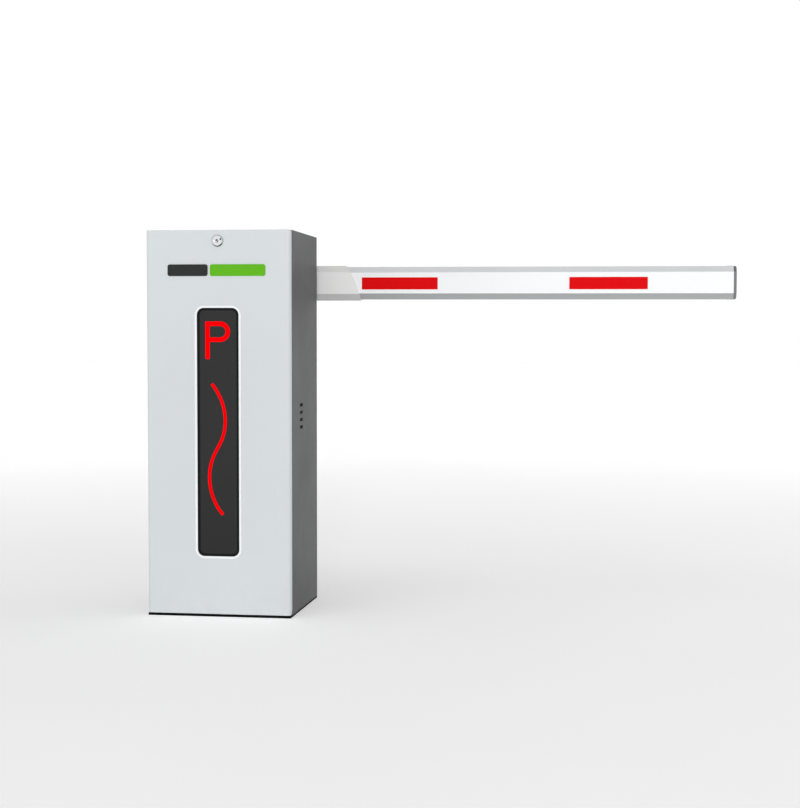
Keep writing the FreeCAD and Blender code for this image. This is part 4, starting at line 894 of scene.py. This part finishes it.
def add_unit_details():
    low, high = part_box("control_unit_case")
    face = low.y
    lid_depth = 0.03
    corner_a, corner_b = on_axis(low, face + lid_depth), on_axis(high, face + lid_depth)
    grow = Vector((0.0005, 0, 0.0005))
    outer = outline(corner_a - grow, corner_b + grow, 0.0065)
    inner = outline(corner_a + grow, corner_b - grow, 0.0055)
    Form().frame(outer, inner, 0.0012 * Y_AXIS).piece("unit_gasket", "rubber", "cabinet")

    glass_low = Vector((high.x - 0.0616, face + 0.0004, high.z - 0.0646))
    glass_high = Vector((high.x - 0.0164, face + 0.0004, high.z - 0.0304))
    glass = Form().slab(outline(glass_low, glass_high, 0.0026), 0.001 * Y_AXIS)
    glass.piece("unit_display", "smoked_acrylic", "cabinet")
    digits = Form()
    centre = (glass_low + glass_high) / 2 - SINK * Y_AXIS
    for dx in (-0.0085, 0.0085):
        add_zero(digits, centre + dx * X_AXIS, *DIGIT_HALF, 0.0003 * Y_AXIS)
    digits.piece("display_digits", "led_red", "cabinet")

    screws = Form()
    for x, z in corners(low, high, 0.009, 0.009):
        screws.socket_screw(Vector((x, face + HAIR, z)), -Y_AXIS, *UNIT_SCREW)
    screws.piece("unit_screws", "fastener_zinc", "cabinet")

    collars = Form()
    for name, lamp_slot in (("open", "button_green"), ("stop", "button_red"), ("close", "button_blue")):
        place = on_axis(middle("button_" + name), face)
        collars.washer(place + HAIR * Y_AXIS, -Y_AXIS, *BUTTON_COLLAR, 40)
        lamp = Form().dome(place + 0.021 * Z_AXIS, -Y_AXIS, *UNIT_LAMP)
        lamp.piece(name + "_lamp", lamp_slot, "cabinet")
    collars.piece("button_collars", "black_plastic", "cabinet")


def add_wires():
    """Coloured wires with pale ferrules, from the terminal blocks up into the control unit's grommets."""
    low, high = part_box("terminal_blocks")
    unit_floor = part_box("control_unit_case")[0].z
    half_block, radius = 0.004, 0.00175
    y, screw_y, screw_z = low.y + 0.022, low.y + 0.0062, (low.z + high.z) / 2 - 0.0005
    ferrules, grommets, screws = Form(), Form(), Form()
    for i, slot in enumerate(WIRE_SLOTS):
        x = low.x + half_block + (high.x - low.x - 2 * half_block) * i / (len(WIRE_SLOTS) - 1)
        start, end = Vector((x, y, high.z + 0.003)), Vector((x, y, unit_floor + 0.002))
        wire = Form().tube([start.lerp(end, s / 6) for s in range(7)], radius, 14)
        wire.piece("wire_%d" % (i + 1), slot, "cabinet")
        ferrules.washer(Vector((x, y, high.z - 0.0005)), Z_AXIS, *FERRULE, 20)
        grommets.washer(Vector((x, y, unit_floor - 0.0022)), Z_AXIS, *GROMMET, 24)
        screws.socket_screw(Vector((x, screw_y, screw_z)), -Y_AXIS, *TERMINAL_SCREW)
    ferrules.piece("wire_ferrules", "fastener_zinc", "cabinet")
    grommets.piece("wire_grommets", "rubber", "cabinet")
    screws.piece("terminal_screws", "fastener_zinc", "cabinet")

    stops = Form()
    rail_front, rail_z, half_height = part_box("din_rail")[0].y, middle("din_rail").z, 0.02
    y0, y1 = rail_front - 0.0215, rail_front - SINK
    for x0, x1 in ((low.x - 0.011, low.x - 0.0012), (high.x + 0.0012, high.x + 0.011)):
        corner_a, corner_b = Vector((x0, y0, rail_z - half_height)), Vector((x1, y1, rail_z + half_height))
        stops.slab(outline(corner_a, corner_b, 0.002, (1, 2)), (x1 - x0) * X_AXIS)
    stops.piece("rail_end_stops", "black_plastic", "cabinet", 0.0006)


def add_breaker_details():
    low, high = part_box("circuit_breaker")
    shoulder = low.y + 0.018  # the breaker's lower front, above and below its lever
    wells, screws = Form(), Form()
    for x, z in corners(low, high, 0.009, 0.0095):
        place = Vector((x, shoulder + HAIR, z))
        wells.washer(place, -Y_AXIS, *BREAKER_WELL)
        screws.socket_screw(place, -Y_AXIS, *BREAKER_SCREW)
    wells.piece("breaker_wells", "black_plastic", "cabinet")
    screws.piece("breaker_screws", "fastener_zinc", "cabinet")
    flag_width, flag_height = 0.01, 0.0042
    flag = Vector(((low.x + high.x - flag_width) / 2, low.y - 0.0003, low.z + 0.057))
    far = flag + Vector((flag_width, 0, flag_height))
    Form().slab(outline(flag, far, 0.0008), 0.0006 * Y_AXIS).piece("breaker_flag", "button_red", "cabinet")


def add_supply_details():
    low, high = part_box("power_supply")
    face = low.y + HAIR
    screws = Form()
    for x in (low.x + 0.004, high.x - 0.004):
        for z in (low.z + 0.006, high.z - 0.016):
            screws.socket_screw(Vector((x, face, z)), -Y_AXIS, *SUPPLY_SCREW)
    screws.piece("supply_screws", "fastener_zinc", "cabinet")
    lamp = Vector((low.x + 0.012, face, high.z - 0.017))
    Form().dome(lamp, -Y_AXIS, *SUPPLY_LAMP).piece("supply_lamp", "button_green", "cabinet")
    gland = Vector((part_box("motor_cable")[1].x - CABLE, (low.y + high.y) / 2, high.z - 0.01))
    Form().washer(gland, Z_AXIS, *SUPPLY_GLAND, 6).piece("supply_gland_nut", "black_plastic", "cabinet")


# ---- door and housing ----
VENT_Y, VENT_Z = -0.0336, 0.5169  # middle of each wall's block of vents
SCREEN_W, SCREEN_H, MESH_PITCH, MESH_WIRE = 0.044, 0.078, 0.0026, 0.00028
GASKET_INSET, GASKET_RADIUS = 0.0057, 0.0178  # the pane's rubber frame, from the bezel's outline
GASKET_WIDTH, GASKET_THROAT = 0.006, 0.012  # its width and the radius of its inner corners


def add_lock_details():
    # a thin black rubber ring round the lock, which also stands in as painted shade round the lock's rim
    gasket = Form().washer(on_axis(LOCK, DOOR_FACE + SINK), -Y_AXIS, *LOCK_SHADE_GASKET, 56)
    gasket.piece("lock_shade_gasket", "rubber", "door")
    # a black rosette round the keyhole, which also darkens it as painted shade
    rosette = Form().washer(on_axis(LOCK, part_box("lock_plug")[0].y), -Y_AXIS, *KEY_ROSETTE_SHADE)
    rosette.piece("key_rosette_shade", "black_plastic", "lock")
    # a small black dot at the lock's upper right: a mark on the lock that is also painted in as the dark
    # reflection seen there
    mark_and_reflection = Vector((LOCK.x + 0.0092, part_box("lock_barrel")[0].y, LOCK.z + 0.0041))
    Form().dome(mark_and_reflection, -Y_AXIS, *LOCK_MARK_AND_REFLECTION).piece("lock_mark_and_reflection", "black_plastic", "door")


def add_window_gasket():
    low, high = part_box("window_bezel")
    low.y = high.y = DOOR_FACE + 0.0014
    inset, width = (Vector((size, 0, size)) for size in (GASKET_INSET, GASKET_WIDTH))
    low, high = low + inset, high - inset
    outer, inner = outline(low, high, GASKET_RADIUS), outline(low + width, high - width, GASKET_THROAT)
    Form().frame(outer, inner, -0.0011 * Y_AXIS).piece("pane_gasket", "rubber", "door")


def add_door_details():
    add_lock_details()
    add_window_gasket()
    low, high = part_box("light_box")
    socket_depth, screw_in, screw_end = 0.008, 0.01325, 0.026
    back = high.y - socket_depth - HAIR
    screws = Form()
    for x in (low.x + screw_in, high.x - screw_in):
        for z in (low.z + screw_end, (low.z + high.z) / 2, high.z - screw_end):
            screws.socket_screw(Vector((x, back, z)), Y_AXIS, *LIGHT_BOX_SCREW)
    screws.piece("light_box_screws", "fastener_zinc", "door")
    low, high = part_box("door_hinge_brackets")
    clips = Form()
    for x, way in ((low.x + 0.0098, -X_AXIS), (high.x - 0.0098, X_AXIS)):
        clips.washer(Vector((x, low.y + 0.004, high.z - 0.004)), way, *HINGE_CLIP, 24)
    clips.piece("hinge_pin_clips", "fastener_zinc", "cabinet")


def add_vent_screens():
    """Woven insect screens in thin frames, inside the side walls behind the vents."""
    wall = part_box("housing_shell")[1].x - 0.002
    directions = ((Y_AXIS, Z_AXIS, SCREEN_W, SCREEN_H), (Z_AXIS, Y_AXIS, SCREEN_H, SCREEN_W))
    rim = Vector((0, 0.006, 0.006))
    half = Vector((0, SCREEN_W / 2 + 0.001, SCREEN_H / 2 + 0.001))
    for side, name in ((-1, "left"), (1, "right")):
        plane = Vector((side * (wall - 0.0006), VENT_Y, VENT_Z))
        screen = Form()
        for axis, other, span, reach in directions:
            lines = int(span / MESH_PITCH)
            lift = side * MESH_WIRE * (1 if axis == Y_AXIS else -1) * X_AXIS
            for i in range(lines + 1):
                centre = plane + axis * (i - lines / 2) * MESH_PITCH + lift
                screen.tube([centre - other * reach / 2, centre + other * reach / 2], MESH_WIRE, 6)
        screen.piece("vent_screen_" + name, "black_plastic", "cabinet")
        low, high = plane - half, plane + half
        outer = outline(low - rim, high + rim, 0.006, (1, 2))
        inner = outline(low + rim / 3, high - rim / 3, 0.003, (1, 2))
        rims = Form().frame(outer, inner, -side * 0.0022 * X_AXIS)
        rims.piece("vent_frame_" + name, "black_plastic", "cabinet")


# ---- studio ----
FLOOR_GLOW = (0.41, 0.62)  # the floor's own light, near the object and far from it
SKY_TOP = 0.16  # the sky's strength overhead; it is 1 at the horizon
CAMERA_PLACE = (1.069, -3.844, 0.724)
CAMERA_HEADING, CAMERA_TILT, CAMERA_ROLL = 6.985, 2.57, 0.169  # to the left, downwards, about its axis
CAMERA_LENS, CAMERA_SHIFT = 65.54, -0.0693


def soft_sun(name, azimuth, elevation, spread, strength):
    """A distant soft light; azimuth 0 stands in front of the door, and it grows to the right."""
    data = bpy.data.lights.new(name, "SUN")
    data.energy = strength
    data.angle = math.radians(spread)
    turned = (math.radians(90 - elevation), 0, math.radians(azimuth))
    new_object(name, data).rotation_euler = turned


def floor():
    """A pale floor that brightens away from the object, as a studio's lit backdrop does."""
    data = bpy.data.meshes.new("floor")
    mesh = bmesh.new()
    bmesh.ops.create_circle(mesh, cap_ends=True, segments=96, radius=40.0)
    mesh.to_mesh(data)
    mesh.free()
    made = new_object("floor", data)
    t = Tree("floor")
    distance = t.node("ShaderNodeVectorMath", operation="LENGTH")
    t.feed(distance.inputs[0], t.place)
    glow = t.span(distance.outputs["Value"], 0.3, 5.0, *FLOOR_GLOW)
    tone = t.spread(t.noise(1.3, 3))
    pale = t.blend(tone, (0.8, 0.8, 0.8), (0.83, 0.83, 0.83))
    data.materials.append(t.finish(Base_Color=pale, Roughness=0.8, Emission_Color=(1.0, 1.0, 1.0),
                                   Emission_Strength=glow, Specular_IOR_Level=0.2))


def sky():
    """White round the horizon and dimmer overhead, so that upward faces stay a little darker."""
    world = bpy.data.worlds.new("studio")
    world.use_nodes = True
    bpy.context.scene.world = world
    tree = world.node_tree
    way = tree.nodes.new("ShaderNodeTexCoord").outputs["Generated"]
    split = tree.nodes.new("ShaderNodeSeparateXYZ")
    tree.links.new(way, split.inputs[0])
    ramp = tree.nodes.new("ShaderNodeMapRange")
    ramp.interpolation_type = "SMOOTHSTEP"
    tree.links.new(split.outputs["Z"], ramp.inputs["Value"])
    for name, number in zip(RANGE_ENDS, (0.24, 0.5, 1.0, SKY_TOP)):
        ramp.inputs[name].default_value = number
    back = tree.nodes["Background"]
    back.inputs["Color"].default_value = (1.0, 1.0, 1.0, 1.0)
    tree.links.new(ramp.outputs[0], back.inputs["Strength"])


def studio():
    floor()
    sky()
    soft_sun("key", azimuth=12.0, elevation=10.0, spread=14.0, strength=0.88)
    soft_sun("top", azimuth=-25.0, elevation=68.0, spread=40.0, strength=0.45)
    bpy.context.scene.view_settings.view_transform = "Standard"


def camera():
    """The camera stands in front and to the right, a little over mid-height, and looks slightly down."""
    data = bpy.data.cameras.new("camera")
    data.sensor_width = 36.0
    data.lens = CAMERA_LENS
    data.shift_x = CAMERA_SHIFT
    made = new_object("camera", data)
    heading = Matrix.Rotation(math.radians(CAMERA_HEADING), 4, "Z")
    tilt = Matrix.Rotation(math.radians(90.0 - CAMERA_TILT), 4, "X")
    roll = Matrix.Rotation(math.radians(CAMERA_ROLL), 4, "Z")
    made.matrix_world = Matrix.Translation(CAMERA_PLACE) @ heading @ tilt @ roll
    bpy.context.scene.camera = made


dress_nodes()
add_springs()
add_shaft_details()
add_hub_details()
add_boom_details()
add_gearbox_details()
add_motor_details()
add_cable_ties()
add_unit_details()
add_wires()
add_breaker_details()
add_supply_details()
add_door_details()
add_vent_screens()
studio()
camera()
